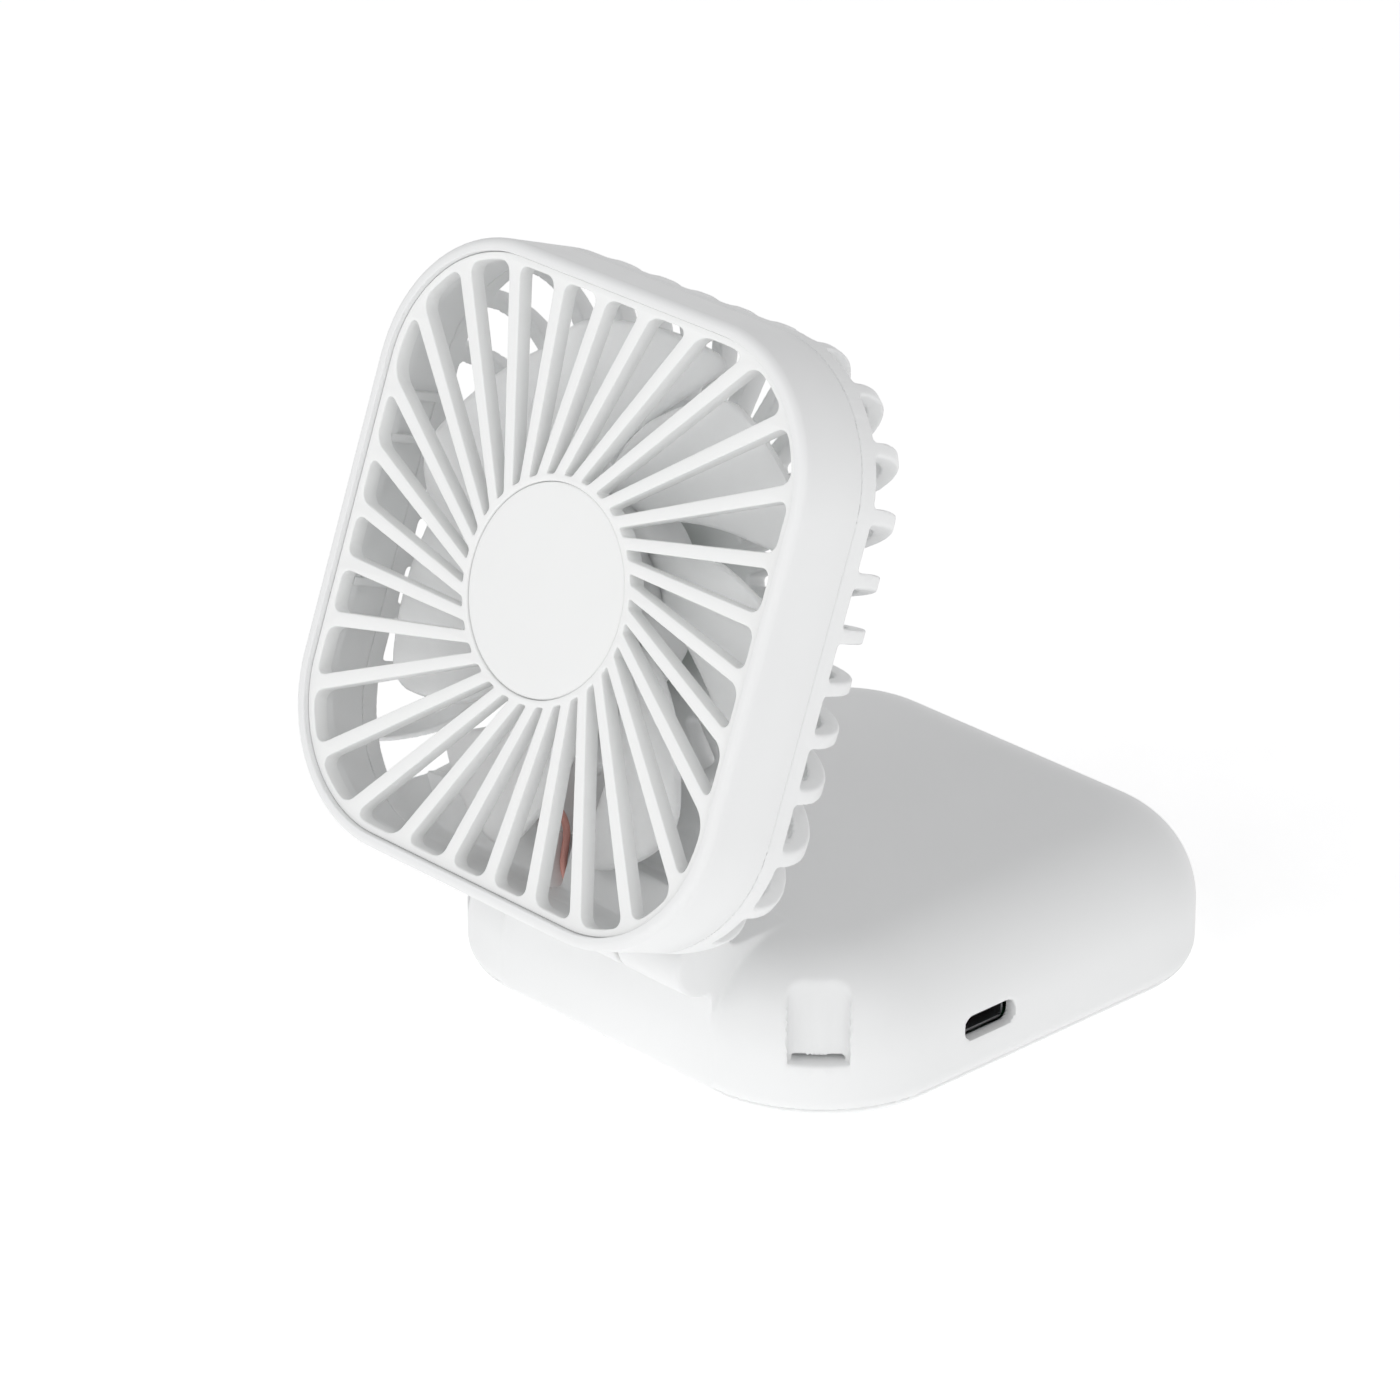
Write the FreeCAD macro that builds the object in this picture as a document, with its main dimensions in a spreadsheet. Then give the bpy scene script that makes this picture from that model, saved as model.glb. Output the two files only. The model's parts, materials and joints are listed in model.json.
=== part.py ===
import FreeCAD, Part
import math
import os
import re
import Sketcher
from FreeCAD import Placement, Rotation, Vector

# Folding square fan on a power-bank base.  Millimetres; the origin is the centre of the resting
# plane under the base, +X is the charging-socket side, -Y the blowing side, +Z up.
# Parts of the fan head are drawn in their own frame (X right, Y up the face, Z out of the face,
# origin on the face plane) and then placed together on the tilted head.

DIMENSIONS = {
    # base
    "base_width": 81.6, "base_length": 84.9, "base_top": 22.3, "base_corner": 20.5,
    "top_round": 13.4, "edge_round": 3.5, "foot_gap": 0.3, "parting_height": 2.3,
    "base_wall": 2.0, "floor_thick": 1.6, "lip_height": 1.1, "lip_thick": 1.2, "lip_gap": 0.15,
    # hinge
    "hinge_y": -43.7, "hinge_z": 21.6, "barrel_radius": 4.9, "lug_half": 20.7,
    "gap_half": 8.7, "knuckle_half": 7.8, "pocket_radius": 5.3, "pin_radius": 1.5,
    "pin_inner": 2.6, "pin_outer": 18.5, "bearing_gap": 0.05, "washer_thick": 0.6,
    "washer_radius": 4.2, "wire_slot_half": 1.7, "web_round": 2.0,
    # lanyard recesses
    "recess_inner": 14.2, "recess_width": 8.2, "recess_floor": 9.0, "niche_back": 15.2,
    "slit_height": 0.7, "backing_wall": 2.0,
    # socket, button, light
    "board_y": -12.0, "board_width": 20.0, "board_left": -36.6, "board_right": 37.0,
    "board_base": 5.9, "board_thick": 1.2, "port_y": -10.15, "port_z": 8.75,
    "port_width": 9.45, "port_height": 3.5, "port_corner": 1.6,
    "socket_width": 8.94, "socket_height": 3.2, "socket_depth": 7.3, "socket_front": 38.6,
    "button_z": 8.9, "button_radius": 3.0, "button_gap": 0.3, "button_proud": 0.6,
    "flange_radius": 3.5, "flange_thick": 0.6, "flange_front": 38.0, "light_y": -17.6, "light_radius": 0.9,
    "screw_radius": 0.9, "screw_head_radius": 1.7, "screw_length": 7.0, "boss_radius": 3.0,
    "foot_radius": 3.5, "foot_thick": 0.9,
    "cell_width": 50.0, "cell_length": 33.0, "cell_height": 9.5, "cell_y": 18.5,
    # head
    "head_width": 80.0, "head_height": 83.2, "head_corner": 20.8, "head_lean": 20.5,
    "face_rise": 43.4, "face_reach": 26.7, "head_wall": 1.8, "bezel_round": 1.2,
    "seam_depth": 11.0, "rear_depth": 24.4, "rear_round": 10.0, "rear_thick": 3.6,
    "grille_sink": 0.8, "grille_thick": 2.5, "grille_gap": 0.1, "ledge_width": 0.9,
    "ledge_thick": 1.4, "field_half_width": 36.9, "field_half_height": 38.7,
    "field_corner": 17.6, "spoke_inner": 1.6, "spoke_outer": 2.2, "spoke_offset": 7.3,
    "grille_hub": 15.2, "hub_proud": 0.6, "cap_radius": 14.2, "cap_thick": 0.9, "cap_sink": 0.25,
    "rib_half": 1.0, "slot_front": 13.9, "outer_slot_start": 26.6, "inner_slot_start": 17.4,
    "inner_slot_end": 24.6, "root_front": 16.4, "root_depth": 21.3, "root_half": 21.0, "root_half_top": 28.0,
    "neck_low": 0.8, "neck_top": 4.9, "hook_width": 6.0,
    # fan motor and impeller
    "blade_radius": 36.0, "blade_thick": 1.3, "blade_pitch": 16.0, "blade_mid": 10.3,
    "blade_corner": 2.5, "blade_phase": 45.7,
    "cup_radius": 14.0, "cup_front": 6.0, "cup_rear": 15.6,
    "cup_round": 2.5, "yoke_radius": 12.3, "yoke_thick": 0.8, "magnet_thick": 1.5,
    "stator_radius": 9.6, "stator_front": 10.3, "stator_rear": 15.0, "tooth_width": 1.7,
    "post_outer": 3.2, "sleeve_radius": 2.2, "shaft_radius": 1.0, "motor_board_radius": 10.4,
    "lead_radius": 0.5,
}

doc = FreeCAD.newDocument("folding_fan")
sheet = doc.addObject("Spreadsheet::Sheet", "dims")
for line, (name, number) in enumerate(DIMENSIONS.items(), start=1):
    sheet.set("A%d" % line, name)
    sheet.set("B%d" % line, str(number))
    sheet.setAlias("B%d" % line, name)
doc.recompute()


def text(expression):
    """Expression with every dimension name pointed at the spreadsheet."""
    return re.sub(r"[a-z]+(_[a-z]+)+", lambda m: "dims." + m.group(0), str(expression))


def number(expression):
    """Present value of an expression."""
    found = sheet.evalExpression(text(expression).replace("dims.", ""))
    return float(getattr(found, "Value", found))


def bind(item, path, expression):
    item.setExpression(path, text(expression))


def new_body(label, head=False, several=False):
    body = doc.addObject("PartDesign::Body", label)
    body.Label = label
    if several:
        body.AllowCompound = True
    if head:
        turn = Rotation(Vector(1, 0, 0), 90 - DIMENSIONS["head_lean"])
        body.Placement = Placement(Vector(0, 0, 0), turn)
        lean = "head_lean * 1deg"
        bind(body, "Placement.Rotation.Angle", "90 - head_lean")
        bind(body, "Placement.Base.y",
             "hinge_y + sin(%s) * face_rise - cos(%s) * face_reach" % (lean, lean))
        bind(body, "Placement.Base.z",
             "hinge_z + cos(%s) * face_rise + sin(%s) * face_reach" % (lean, lean))
    return body


def feature(body, cut, shape):
    kind = "PartDesign::%s%s" % ("Subtractive" if cut else "Additive", shape)
    return body.newObject(kind, ("cut_" if cut else "add_") + shape.lower())


def finish(body, item):
    """Recompute a new feature and make it the body's tip."""
    doc.recompute()
    if "Invalid" in item.State:
        raise ValueError("%s in %s: %s" % (item.Name, body.Label, item.getStatusString()))
    body.Tip = item
    return item


def box(body, x, y, z, cut=False, turn=None):
    """Box from (low, high) expression pairs, optionally turned about the Z axis."""
    item = feature(body, cut, "Box")
    for prop, (low, high) in zip(("Length", "Width", "Height"), (x, y, z)):
        bind(item, prop, "(%s) - (%s)" % (high, low))
    if turn is None:
        for axis, (low, high) in zip("xyz", (x, y, z)):
            bind(item, "Placement.Base." + axis, low)
    else:
        centre, angle = turn
        spin = Rotation(Vector(0, 0, 1), angle)
        corner = spin.multVec(Vector(number(x[0]), number(y[0]), 0))
        item.Placement = Placement(Vector(*centre) + corner, spin)
        bind(item, "Placement.Base.z", z[0])
    return finish(body, item)


def rod(body, axis, centre, radius, low, high, cut=False):
    """Cylinder along x, y or z; centre is the pair of the two other coordinates in order."""
    item = feature(body, cut, "Cylinder")
    bind(item, "Radius", radius)
    bind(item, "Height", "(%s) - (%s)" % (high, low))
    turns = {"x": Rotation(Vector(0, 1, 0), 90), "y": Rotation(Vector(1, 0, 0), -90),
             "z": Rotation()}
    item.Placement = Placement(Vector(0, 0, 0), turns[axis])
    others = [name for name in "xyz" if name != axis]
    bind(item, "Placement.Base." + axis, low)
    for name, where in zip(others, centre):
        bind(item, "Placement.Base." + name, where)
    return finish(body, item)


def fillet(body, radius, chosen):
    """Round every edge of the tip for which chosen(edge) is true."""
    tip = body.Tip
    names = ["Edge%d" % n for n, edge in enumerate(tip.Shape.Edges, start=1) if chosen(edge)]
    item = body.newObject("PartDesign::Fillet", "round")
    item.Base = (tip, names)
    bind(item, "Radius", radius)
    return finish(body, item)


def spread(edge):
    bounds = edge.BoundBox
    return bounds.XLength, bounds.YLength, bounds.ZLength


def upright(edge):
    across, along, tall = spread(edge)
    return across < 1e-6 and along < 1e-6 and tall > 1e-6


def level_at(height):
    """Test for edges lying flat at one height."""
    def test(edge):
        bounds = edge.BoundBox
        return abs(bounds.ZMin - height) < 1e-4 and abs(bounds.ZMax - height) < 1e-4
    return test


def rounded_box(body, half_x, half_y, z, corner, front=None, back=None):
    """Upright-cornered block centred on the Z axis, its top (front) and bottom (back) rounded."""
    box(body, ("-(%s)" % half_x, half_x), ("-(%s)" % half_y, half_y), z)
    fillet(body, corner, upright)
    if front:
        fillet(body, front, level_at(number(z[1])))
    if back:
        fillet(body, back, level_at(number(z[0])))


def outline(body, height, frames):
    """Sketch parallel to XY at a height holding rounded rectangles (half_x, half_y, corner)."""
    sketch = body.newObject("Sketcher::SketchObject", "outline")
    flat = [item for item in body.Origin.OriginFeatures if item.Role == "XY_Plane"][0]
    sketch.AttachmentSupport = [(flat, "")]
    sketch.MapMode = "FlatFace"
    bind(sketch, "AttachmentOffset.Base.z", height)
    for half_x, half_y, corner in frames:
        a, b, r = number(half_x), number(half_y), number(corner)
        first = sketch.GeometryCount
        for x, y, start in ((a - r, r - b, -90), (a - r, b - r, 0), (r - a, b - r, 90),
                            (r - a, r - b, 180)):
            circle = Part.Circle(Vector(x, y, 0), Vector(0, 0, 1), r)
            low, high = math.radians(start), math.radians(start + 90)
            sketch.addGeometry(Part.ArcOfCircle(circle, low, high), False)
        for k in range(4):
            tail = sketch.Geometry[first + k].EndPoint
            nose = sketch.Geometry[first + (k + 1) % 4].StartPoint
            sketch.addGeometry(Part.LineSegment(tail, nose), False)
        for k in range(4):
            side = first + 4 + k
            sketch.addConstraint(Sketcher.Constraint("Tangent", first + k, 2, side, 1))
            sketch.addConstraint(
                Sketcher.Constraint("Tangent", side, 2, first + (k + 1) % 4, 1))
        for k in range(3):
            sketch.addConstraint(Sketcher.Constraint("Equal", first + k, first + k + 1))
        sketch.addConstraint(Sketcher.Constraint("Vertical", first + 4))
        sketch.addConstraint(Sketcher.Constraint("Horizontal", first + 5))
        sketch.addConstraint(
            Sketcher.Constraint("Symmetric", first, 3, first + 2, 3, -1, 1))
        sizes = (("Radius", (first, r), corner),
                 ("DistanceX", (first + 3, 3, first, 3, 2 * (a - r)),
                  "2 * ((%s) - (%s))" % (half_x, corner)),
                 ("DistanceY", (first, 3, first + 1, 3, 2 * (b - r)),
                  "2 * ((%s) - (%s))" % (half_y, corner)))
        for kind, entries, expression in sizes:
            spot = sketch.addConstraint(Sketcher.Constraint(kind, *entries))
            bind(sketch, "Constraints[%d]" % spot, expression)
    doc.recompute()
    return sketch


def pad(body, height, depth, frames):
    """Material grown upward from a sketch of rounded rectangles."""
    item = body.newObject("PartDesign::Pad", "pad")
    item.Profile = outline(body, height, frames)
    bind(item, "Length", depth)
    return finish(body, item)


def pocket(body, height, depth, frames):
    """Material cut downward from a sketch of rounded rectangles."""
    before = body.Tip.Shape.Volume
    item = body.newObject("PartDesign::Pocket", "pocket")
    item.Profile = outline(body, height, frames)
    bind(item, "Length", depth)
    finish(body, item)
    if item.Shape.Volume > before - 1e-3:
        raise ValueError("pocket removed nothing in " + body.Label)
    return item


def wedge(body, y, low_half, high_half, z, cut=False, turn=0, middle="0"):
    """Block widening along Y from low_half to high_half, turned about the Z axis."""
    item = feature(body, cut, "Wedge")
    left, right = middle + " - (%s)", middle + " + (%s)"
    for prop, expression in (("Xmin", left % low_half), ("Xmax", right % low_half),
                             ("X2min", left % high_half), ("X2max", right % high_half),
                             ("Ymin", y[0]), ("Ymax", y[1]), ("Zmin", z[0]), ("Z2min", z[0]),
                             ("Zmax", z[1]), ("Z2max", z[1])):
        bind(item, prop, expression)
    item.Placement = Placement(Vector(0, 0, 0), Rotation(Vector(0, 0, 1), turn))
    return finish(body, item)


def polar(body, items, count, angle=360):
    """Repeat features about the body's Z axis."""
    item = body.newObject("PartDesign::PolarPattern", "polar")
    item.Originals = items
    axis = [line for line in body.Origin.OriginFeatures if line.Role == "Z_Axis"][0]
    item.Axis = (axis, [""])
    item.Angle = angle
    item.Occurrences = count
    return finish(body, item)


def cut_with(body, tool):
    """Take another body away from this one."""
    before = body.Tip.Shape.Volume
    item = body.newObject("PartDesign::Boolean", "hollow")
    item.Type = "Cut"
    item.addObjects([tool])
    finish(body, item)
    if item.Shape.Volume > before - 1e-3:
        raise ValueError("nothing was hollowed in " + body.Label)
    return item


def tube(label, points, radius, head=False):
    """Round wire whose straight runs are joined by tangent arcs."""
    corners = [Vector(*point) for point in points]
    edges = []
    start = corners[0]
    for before, corner, after in zip(corners, corners[1:], corners[2:]):
        back, ahead = before - corner, after - corner
        reach = 0.45 * min(back.Length, ahead.Length)
        half_turn = (math.pi - back.getAngle(ahead)) / 2
        bend = reach / math.tan(half_turn)
        back.normalize()
        ahead.normalize()
        inward = back + ahead
        inward.normalize()
        summit = corner + inward * (math.hypot(reach, bend) - bend)
        entry, leave = corner + back * reach, corner + ahead * reach
        edges.append(Part.LineSegment(start, entry).toShape())
        edges.append(Part.Arc(entry, summit, leave).toShape())
        start = leave
    edges.append(Part.LineSegment(start, corners[-1]).toShape())
    spine = Part.Wire(edges)
    ring = Part.Wire([Part.makeCircle(radius, corners[0], corners[1] - corners[0])])
    shape = spine.makePipeShell([ring], True, True)
    wanted = math.pi * radius ** 2 * spine.Length
    if abs(shape.Volume / wanted - 1) > 0.02:
        raise ValueError("%s has volume %.2f, not %.2f" % (label, shape.Volume, wanted))
    item = doc.addObject("Part::Feature", label)
    item.Label = label
    item.Shape = shape
    if head:
        item.Placement = frame.Placement
    doc.recompute()
    return item


nodes = []


def keep(item):
    nodes.append(item)
    return item


# ------------------------------------------------------------------ base shell

HALF_X, HALF_Y = "base_width / 2", "base_length / 2"
IN_X, IN_Y = "base_width / 2 - base_wall", "base_length / 2 - base_wall"
IN_CORNER = "base_corner - base_wall"
FRONT_CORNERS = [(1, -45), (-1, -135)]
SCREW_SPOTS = [(16, -33), (-16, -33), (30, 28), (-30, 28)]
FOOT_SPOTS = [(28, -27), (-28, -27), (20, 35.5), (-20, 35.5)]
CORNER_X = DIMENSIONS["base_width"] / 2 - DIMENSIONS["base_corner"]
CORNER_Y = DIMENSIONS["base_corner"] - DIMENSIONS["base_length"] / 2

hollow = new_body("base_hollow", several=True)
rounded_box(hollow, IN_X, IN_Y, ("0", "base_top - base_wall"), IN_CORNER,
            front="top_round - base_wall")
for side, angle in FRONT_CORNERS:
    half = "recess_width / 2 + backing_wall"
    box(hollow, ("recess_inner - backing_wall", "base_corner + 6"), ("-(%s)" % half, half),
        ("-1", "base_top + 1"), cut=True, turn=((side * CORNER_X, CORNER_Y, 0), angle))
for x, y in SCREW_SPOTS:
    rod(hollow, "z", (x, y), "boss_radius", "parting_height + 4.2", "base_top", cut=True)

recess = new_body("lanyard_recess", several=True)
for side, angle in FRONT_CORNERS:
    box(recess, ("niche_back", "base_corner + 6"), ("-recess_width / 2", "recess_width / 2"),
        ("recess_floor", "base_top + 4"), turn=((side * CORNER_X, CORNER_Y, 0), angle))
for side, angle in FRONT_CORNERS:
    # the niche's back wall slopes outward towards its foot
    slope = feature(recess, True, "Box")
    slope.Length, slope.Width, slope.Height = 10, 12, 30
    corner = Placement(Vector(side * CORNER_X, CORNER_Y, 0), Rotation(Vector(0, 0, 1), angle))
    tilt = Placement(Vector(16.95, 0, 14.5), Rotation(Vector(0, 1, 0), -18.6))
    slope.Placement = corner * tilt * Placement(Vector(-10, -6, -15), Rotation())
    finish(recess, slope)
for side, angle in FRONT_CORNERS:
    box(recess, ("recess_inner", "base_corner - 1"), ("0.5 - recess_width / 2", "recess_width / 2 - 0.5"),
        ("recess_floor", "recess_floor + slit_height"),
        turn=((side * CORNER_X, CORNER_Y, 0), angle))

housing = keep(new_body("base_top_housing"))
rounded_box(housing, HALF_X, HALF_Y, ("foot_gap", "base_top"), "base_corner",
            front="top_round", back="edge_round")
box(housing, ("-lug_half", "lug_half"), ("-base_length / 2", "-28"),
    ("parting_height", "base_top"))
AXLE = ("hinge_y", "hinge_z")
rod(housing, "x", AXLE, "barrel_radius", "-lug_half", "lug_half")


def under_barrel(edge):
    across, along, tall = spread(edge)
    middle = edge.CenterOfMass
    low = middle.z < DIMENSIONS["hinge_z"] - 3
    return across > 30 and along < 1e-4 and tall < 1e-4 and low and middle.y < -42 \
        and middle.z > 14


fillet(housing, "web_round", under_barrel)
box(housing, ("-50", "50"), ("-60", "60"), ("-1", "parting_height"), cut=True)
cut_with(housing, hollow)
cut_with(housing, recess)
rod(housing, "x", AXLE, "pocket_radius", "-gap_half", "gap_half", cut=True)
box(housing, ("-gap_half", "gap_half"), ("-55", "-base_length / 2"), ("10", "base_top + 6"),
    cut=True)
rod(housing, "x", AXLE, "pin_radius", "-pin_outer", "pin_outer", cut=True)
channel = feature(housing, True, "Cylinder")
bind(channel, "Radius", "wire_slot_half")
channel.Height = 20
channel.Placement = Placement(Vector(0, 0, 0), Rotation(Vector(1, 0, 0), -135))
bind(channel, "Placement.Base.y", "hinge_y")
bind(channel, "Placement.Base.z", "hinge_z")
finish(housing, channel)
box(housing, ("30", "45"), ("port_y - port_width / 2", "port_y + port_width / 2"),
    ("port_z - port_height / 2", "port_z + port_height / 2"), cut=True)


def port_corner(edge):
    across, along, tall = spread(edge)
    middle = edge.CenterOfMass
    inside = abs(middle.y - DIMENSIONS["port_y"]) < 5 and abs(middle.z - 8.75) < 2
    return across > 1 and along < 1e-4 and tall < 1e-4 and inside and middle.x > 35


fillet(housing, "port_corner", port_corner)
rod(housing, "x", ("port_y", "button_z"), "button_radius + button_gap", "-45", "-30", cut=True)
rod(housing, "x", ("light_y", "button_z"), "light_radius", "-45", "-30", cut=True)
for x, y in SCREW_SPOTS:
    rod(housing, "z", (x, y), "screw_radius", "parting_height", "parting_height + 10",
        cut=True)

cover = keep(new_body("base_bottom_cover"))
rounded_box(cover, HALF_X, HALF_Y, ("foot_gap", "base_top"), "base_corner",
            back="edge_round")
box(cover, ("-50", "50"), ("-60", "60"), ("parting_height", "base_top + 1"), cut=True)
pocket(cover, "parting_height + 1", "parting_height + 1 - foot_gap - floor_thick",
       [(IN_X, IN_Y, IN_CORNER)])
LIP = [("%s - lip_gap" % IN_X, "%s - lip_gap" % IN_Y, "%s - lip_gap" % IN_CORNER),
       ("%s - lip_gap - lip_thick" % IN_X, "%s - lip_gap - lip_thick" % IN_Y,
        "%s - lip_gap - lip_thick" % IN_CORNER)]
pad(cover, "foot_gap + floor_thick", "parting_height + lip_height - foot_gap - floor_thick",
    LIP)
for side, angle in FRONT_CORNERS:
    half = "recess_width / 2 + backing_wall + 0.3"
    box(cover, ("recess_inner - backing_wall - 0.3", "base_corner - base_wall"),
        ("-(%s)" % half, half), ("parting_height", "base_top"), cut=True,
        turn=((side * CORNER_X, CORNER_Y, 0), angle))
for x, y in SCREW_SPOTS:
    rod(cover, "z", (x, y), "boss_radius", "foot_gap + floor_thick - 0.2",
        "parting_height + 4.2")
for x, y in SCREW_SPOTS:
    rod(cover, "z", (x, y), "screw_radius + 0.2", "0", "parting_height + 5", cut=True)
    rod(cover, "z", (x, y), "screw_head_radius", "0", "foot_gap + 1.1", cut=True)
BOARD_SPOTS = [(-27, -19), (20, -5)]
for x, y in BOARD_SPOTS:
    rod(cover, "z", (x, y), "2.0", "foot_gap + floor_thick - 0.2", "board_base")
    rod(cover, "z", (x, y), "0.7", "foot_gap + floor_thick + 0.4", "board_base + 1", cut=True)
for x, y in FOOT_SPOTS:
    rod(cover, "z", (x, y), "foot_radius", "0", "foot_thick", cut=True)

feet = keep(new_body("rubber_feet", several=True))
for x, y in FOOT_SPOTS:
    rod(feet, "z", (x, y), "foot_radius", "0", "foot_thick")

base_screws = keep(new_body("base_screws", several=True))
for x, y in SCREW_SPOTS:
    rod(base_screws, "z", (x, y), "screw_head_radius", "foot_gap + 0.2", "foot_gap + 1.1")
    rod(base_screws, "z", (x, y), "screw_radius", "foot_gap + 1.1",
        "foot_gap + 1.1 + screw_length")
for x, y in SCREW_SPOTS:
    rod(base_screws, "z", (x, y), "0.7", "0", "foot_gap + 0.7", cut=True)

# ------------------------------------------------------------------ base electronics

BOARD_TOP = "board_base + board_thick"
board = keep(new_body("control_board"))
box(board, ("board_left", "board_right"),
    ("board_y - board_width / 2", "board_y + board_width / 2"), ("board_base", BOARD_TOP))
for x, y in BOARD_SPOTS:
    rod(board, "z", (x, y), "0.8", "board_base - 1", "board_base + 3", cut=True)

board_screws = keep(new_body("board_screws", several=True))
for x, y in BOARD_SPOTS:
    rod(board_screws, "z", (x, y), "1.4", BOARD_TOP, BOARD_TOP + " + 0.8")
    rod(board_screws, "z", (x, y), "0.7", "foot_gap + floor_thick + 0.6", BOARD_TOP)
for x, y in BOARD_SPOTS:
    rod(board_screws, "z", (x, y), "0.5", BOARD_TOP + " + 0.4", BOARD_TOP + " + 2", cut=True)

chips = keep(new_body("board_components", several=True))
CHIPS = [(-8, -15, 5, 5, 1.0), (6, -16, 4, 4, 1.1), (14, -12, 6, 6, 3.0), (-18, -9, 3, 1.6, 0.9),
         (-14, -17, 1.6, 3, 0.9), (24, -17, 3, 2.5, 1.2), (-2, -6, 6, 2.6, 1.4),
         (-34.4, -17.6, 1.6, 1.6, 2.4)]
for x, y, wide, long, tall in CHIPS:
    box(chips, (x - wide / 2, x + wide / 2), (y - long / 2, y + long / 2),
        (BOARD_TOP, BOARD_TOP + " + %s" % tall))

socket = keep(new_body("usb_socket"))
box(socket, ("socket_front - socket_depth", "socket_front"),
    ("port_y - socket_width / 2", "port_y + socket_width / 2"),
    (BOARD_TOP, BOARD_TOP + " + socket_height"))


def along_x(edge):
    across, along, tall = spread(edge)
    return across > 1 and along < 1e-4 and tall < 1e-4


fillet(socket, "1.1", along_x)
box(socket, ("socket_front - socket_depth + 0.4", "socket_front + 1"),
    ("port_y - socket_width / 2 + 0.35", "port_y + socket_width / 2 - 0.35"),
    (BOARD_TOP + " + 0.35", BOARD_TOP + " + socket_height - 0.35"), cut=True)

tongue = keep(new_body("usb_socket_tongue"))
box(tongue, ("socket_front - socket_depth + 0.4", "socket_front - 0.8"),
    ("port_y - 3.2", "port_y + 3.2"), (BOARD_TOP + " + 1.25", BOARD_TOP + " + 1.95"))

switch = keep(new_body("tactile_switch"))
box(switch, ("-36.2", "-32.4"), ("port_y - 3", "port_y + 3"), (BOARD_TOP, BOARD_TOP + " + 3.4"))
rod(switch, "x", ("port_y", "button_z"), "1.2", "-36.9", "-36.2")

light = keep(new_body("light_pipe"))
rod(light, "x", ("light_y", "button_z"), "light_radius", "-41.0", "-35.4")

cell = keep(new_body("battery_cell"))
box(cell, ("-cell_width / 2", "cell_width / 2"),
    ("cell_y - cell_length / 2", "cell_y + cell_length / 2"),
    ("foot_gap + floor_thick + 0.8", "foot_gap + floor_thick + 0.8 + cell_height"))
fillet(cell, "2.5", lambda edge: spread(edge)[0] < 1e-4)

cell_pad = keep(new_body("battery_adhesive_pad"))
box(cell_pad, ("3 - cell_width / 2", "cell_width / 2 - 3"),
    ("cell_y - cell_length / 2 + 3", "cell_y + cell_length / 2 - 3"),
    ("foot_gap + floor_thick", "foot_gap + floor_thick + 0.8"))

pins = keep(new_body("hinge_pins", several=True))
rod(pins, "x", AXLE, "pin_radius", "pin_inner", "pin_outer")
rod(pins, "x", AXLE, "pin_radius", "-pin_outer", "-pin_inner")

washers = keep(new_body("friction_washers", several=True))
rod(washers, "x", AXLE, "washer_radius", "gap_half - washer_thick", "gap_half")
rod(washers, "x", AXLE, "washer_radius", "-gap_half", "washer_thick - gap_half")
rod(washers, "x", AXLE, "pin_radius", "-15", "15", cut=True)

button = keep(new_body("power_button"))
rod(button, "x", ("port_y", "button_z"), "button_radius", "-base_width / 2 - button_proud",
    "-flange_front")
fillet(button, "0.5", lambda edge: abs(edge.BoundBox.XMax + 41.4) < 1e-3)
rod(button, "x", ("port_y", "button_z"), "flange_radius", "-flange_front",
    "flange_thick - flange_front")

# ------------------------------------------------------------------ head shells

IN_W, IN_H = "head_width / 2 - head_wall", "head_height / 2 - head_wall"
IN_R = "head_corner - head_wall"

frame = keep(new_body("front_frame", head=True))
rounded_box(frame, "head_width / 2", "head_height / 2", ("-seam_depth", "0"), "head_corner",
            front="bezel_round")
SEAT = "grille_sink + grille_thick"
pocket(frame, "1", "1 + " + SEAT, [(IN_W, IN_H, IN_R)])
pocket(frame, "-(%s)" % SEAT, "ledge_thick", [
    (IN_W + " - ledge_width", IN_H + " - ledge_width", IN_R + " - ledge_width")])
pocket(frame, "-(%s) - ledge_thick" % SEAT, "seam_depth", [(IN_W, IN_H, IN_R)])
HOOKS = [("x", 1, -13), ("x", 1, 13), ("x", -1, -13), ("x", -1, 13), ("y", 1, -12),
         ("y", 1, 12)]
for axis, side, spot in HOOKS:
    reach = IN_W if axis == "x" else IN_H
    low, high = sorted((side * (number(reach) - 1.2), side * (number(reach) + 0.4)))
    for rib in (-1, 1):
        centre = spot + rib * DIMENSIONS["hook_width"] / 2
        across, along = (low, high), (centre - 0.6, centre + 0.6)
        if axis == "y":
            across, along = along, across
        box(frame, across, along, ("-seam_depth", "-(%s)" % SEAT))

grille = keep(new_body("front_grille", head=True))
FRONT, BACK = "-grille_sink", "-grille_sink - grille_thick"
EDGE_W, EDGE_H = IN_W + " - grille_gap", IN_H + " - grille_gap"
EDGE_R = IN_R + " - grille_gap"
pad(grille, BACK, "grille_thick", [("60", "60", "10"),
                                   ("field_half_width", "field_half_height", "field_corner")])
spoke = wedge(grille, ("grille_hub - 3", "52"), "spoke_inner / 2", "spoke_outer / 2",
              (BACK, FRONT), turn=-90, middle="-spoke_offset")
polar(grille, [spoke], 30)
rod(grille, "z", ("0", "0"), "grille_hub", BACK + " - hub_proud", FRONT)
pocket(grille, "1", "10", [("70", "70", "10"), (EDGE_W, EDGE_H, EDGE_R)])
rod(grille, "z", ("0", "0"), "cap_radius + 0.1", FRONT + " - cap_sink - cap_thick", "1",
    cut=True)

cap = keep(new_body("centre_cap", head=True))
rod(cap, "z", ("0", "0"), "cap_radius", FRONT + " - cap_sink - cap_thick",
    FRONT + " - cap_sink")
fillet(cap, "0.3", level_at(number(FRONT + " - cap_sink")))

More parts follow.
